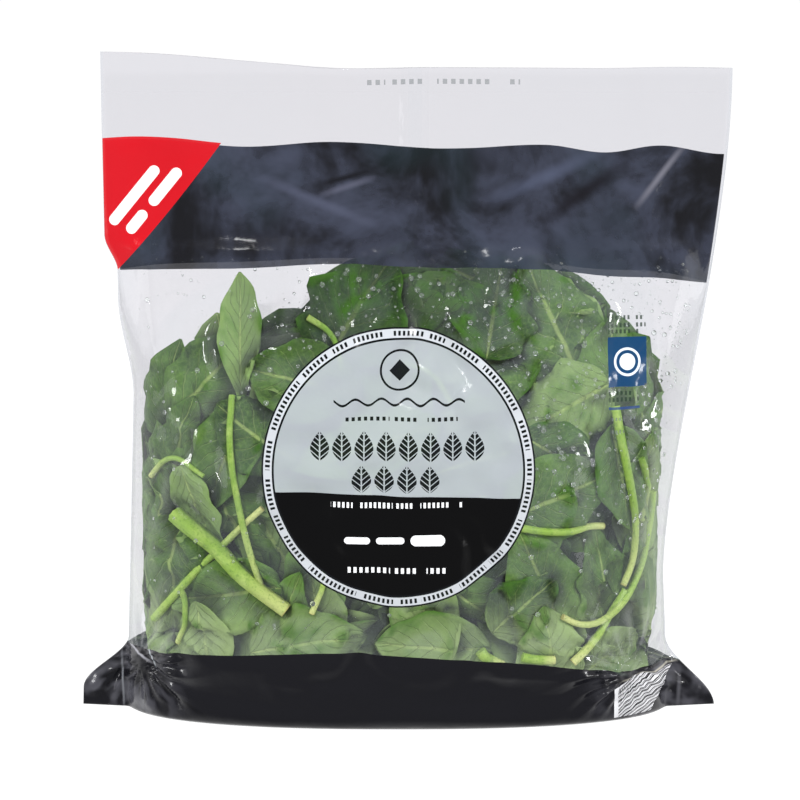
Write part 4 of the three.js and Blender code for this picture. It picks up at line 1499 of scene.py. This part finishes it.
def drop_tree(material):
    """Points on a sheet, a flat dome on each, mostly small."""
    tree, given, result = geometry_tree("drop_scatter", {
        "Drops per square metre": ("NodeSocketFloat", 110000.0), "Smallest": ("NodeSocketFloat", 0.0002),
        "Largest": ("NodeSocketFloat", 0.0013), "Seed": ("NodeSocketInt", 5)})
    most = given.outputs["Drops per square metre"]
    density = maths_node(tree, "MULTIPLY", stored_number(tree, "density"), most)
    spots = add_node(tree, "GeometryNodeDistributePointsOnFaces", {"distribute_method": "RANDOM"}, {
        "Mesh": given.outputs["Geometry"], "Density": density, "Seed": given.outputs["Seed"]})
    draw = add_node(tree, "FunctionNodeRandomValue", {"data_type": "FLOAT"}, {"Seed": given.outputs["Seed"]})
    rare = maths_node(tree, "POWER", draw.outputs[1], 4.0)
    size = add_node(tree, "ShaderNodeMapRange", inputs={
        "Value": rare, "To Min": given.outputs["Smallest"], "To Max": given.outputs["Largest"]})
    ball = add_node(tree, "GeometryNodeMeshUVSphere", inputs={"Segments": 8, "Rings": 5, "Radius": 1.0})
    dome = add_node(tree, "GeometryNodeTransform", inputs={
        "Geometry": ball.outputs[0], "Scale": (1.0, 1.0, DOME_HEIGHT)})
    drops = add_node(tree, "GeometryNodeInstanceOnPoints", inputs={
        "Points": spots.outputs["Points"], "Instance": dome.outputs[0], "Rotation": spots.outputs["Rotation"],
        "Scale": size.outputs[0]})
    solid = add_node(tree, "GeometryNodeRealizeInstances", inputs={0: drops.outputs[0]})
    soft = add_node(tree, "GeometryNodeSetShadeSmooth", inputs={0: solid.outputs[0]})
    coloured = add_node(tree, "GeometryNodeSetMaterial", inputs={0: soft.outputs[0], "Material": material})
    tree.links.new(coloured.outputs[0], result.inputs[0])
    return tree


def water_material():
    paint = Paint("water")
    where, _ = paint.place()
    tint = paint.blend(paint.noise(where, 300.0), (0.97, 1.0, 0.98, 1.0), (0.93, 0.98, 0.95, 1.0))
    return paint.finish(paint.principled(Base_Color=tint, Roughness=0.05, IOR=1.33, Transmission_Weight=0.94))


drops = grow(drop_sheet(), drop_tree(water_material()), {"Seed": 5})
print("drops:", len(drops.data.polygons), "faces")

# %% [markdown]
# ## Who rides on what
# The bag is one body, so every piece rides on it, and together they stand for the one solid.

# %% Riding, and the solid they replace
SLOTS = {
    film: "film", outer_leaves: "leaf", inner_leaves: "leaf", core: "leaf", stems: "stem", drops: "water",
}
for piece, slot_name in SLOTS.items():
    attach(piece, "root")
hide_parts("spinach_bag")
print("pieces on the bag's body:", [piece.name for piece in SLOTS])

# %% [markdown]
# ## The studio
# The photo has a white ground, light from all sides and no hard shadow. A large pale floor, a bright
# sky and three wide soft lamps do that. Five small lamps are there for the film, which mirrors them.
# The camera stands about 1.25 m away and looks down by 10 degrees, which we know from how far the
# front of the base hangs below the two corners.

# %% Floor and lamps
VIEW_DISTANCE, VIEW_DOWN = 1.25, math.radians(10)
PHOTO_SIZE, MM_PER_PIXEL = 800, 0.436
AIM = (-0.4 * MM, 0.0, 136.8 * MM)
FLOOR_HALF = 4.0
FLOOR_GREY, FLOOR_GLOW = (0.15, 0.15, 0.15, 1.0), 0.91
LAMPS = [  # name, place in metres, width in metres, power in watts, seen in the film's gloss or not
    ("key_lamp", (-0.9, -1.2, 1.2), 0.5, 23, False),
    ("fill_lamp", (1.2, -1.0, 0.8), 0.8, 13, False),
    ("top_lamp", (0.1, 0.6, 1.6), 1.2, 16, False),
    ("glint_lamp", (-0.4, -0.75, 1.5), 0.14, 1.2, True),
    ("right_glint_lamp", (1.3, -0.5, 0.7), 0.2, 3.5, True),
    ("left_glint_lamp", (-1.3, -0.6, 0.5), 0.2, 2.5, True),
    ("right_strip_lamp", (1.1, -0.45, 0.25), 0.4, 0.9, True),
    ("left_strip_lamp", (-1.1, -0.45, 0.25), 0.4, 0.6, True),
]


def build_floor():
    corners = FLOOR_HALF * np.array([[-1, -1, 0], [1, -1, 0], [1, 1, 0], [-1, 1, 0]])
    paint = Paint("studio_floor")
    shader = paint.principled(Base_Color=FLOOR_GREY, Roughness=0.85, Specular_IOR_Level=0.0,
                              Emission_Color=WHITE, Emission_Strength=FLOOR_GLOW)
    floor = add_object("studio_floor", corners, [[0, 1, 2, 3]], material=paint.finish(shader))
    floor.visible_glossy = False  # the film's gloss shows the room, not the floor


def add_lamp(name, place, size, power, glints):
    """A square soft lamp that looks at the bag; only some lamps show in the film's gloss."""
    data = bpy.data.lights.new(name, "AREA")
    data.shape, data.size, data.energy = "SQUARE", size, power
    lamp = new_object(name, data)
    lamp.location = place
    lamp.visible_glossy = glints
    lamp.rotation_euler = (Vector(AIM) - Vector(place)).to_track_quat("-Z", "Y").to_euler()


build_floor()
for lamp_facts in LAMPS:
    add_lamp(*lamp_facts)
print("lamps:", len(LAMPS))

# %% Sky
SEEN_LIGHT, BACKDROP_LIGHT, ROOM_LIGHT = 1.02, 1.1, 0.26
world = bpy.data.worlds.new("studio_sky")
world.use_nodes = True
sky_tree = world.node_tree
sky_tree.nodes.clear()
direction = add_node(sky_tree, "ShaderNodeTexCoord")
parts = add_node(sky_tree, "ShaderNodeSeparateXYZ", inputs={0: direction.outputs["Generated"]})
light = add_node(sky_tree, "ShaderNodeMapRange", inputs={
    "Value": parts.outputs[1], "From Min": -0.6, "From Max": 0.4,
    "To Min": ROOM_LIGHT, "To Max": BACKDROP_LIGHT})
path = add_node(sky_tree, "ShaderNodeLightPath")
strength = add_node(sky_tree, "ShaderNodeMix", inputs={
    0: path.outputs["Is Camera Ray"], 2: light.outputs[0], 3: SEEN_LIGHT})
sky = add_node(sky_tree, "ShaderNodeBackground", inputs={"Color": WHITE, "Strength": strength.outputs[0]})
add_node(sky_tree, "ShaderNodeOutputWorld", inputs={0: sky.outputs[0]})
bpy.context.scene.world = world
print("sky seen by the camera:", SEEN_LIGHT, "and by the bag:", ROOM_LIGHT, "to", BACKDROP_LIGHT)

# %% Camera and render settings
camera_data = bpy.data.cameras.new("camera")
camera_data.sensor_width = 36.0
camera_data.lens = camera_data.sensor_width * VIEW_DISTANCE / (MM_PER_PIXEL * MM * PHOTO_SIZE)
camera = new_object("camera", camera_data)
back, up = VIEW_DISTANCE * math.cos(VIEW_DOWN), VIEW_DISTANCE * math.sin(VIEW_DOWN)
camera.location = (AIM[0], -back, AIM[2] + up)
camera.rotation_euler = (math.pi / 2 - VIEW_DOWN, 0.0, 0.0)
bpy.context.scene.camera = camera
bpy.context.scene.view_settings.view_transform = "Standard"
cycles = bpy.context.scene.cycles
cycles.max_bounces, cycles.transparent_max_bounces = 5, 8
cycles.diffuse_bounces, cycles.glossy_bounces, cycles.transmission_bounces = 2, 1, 4
print("lens, in mm:", round(camera_data.lens, 1))
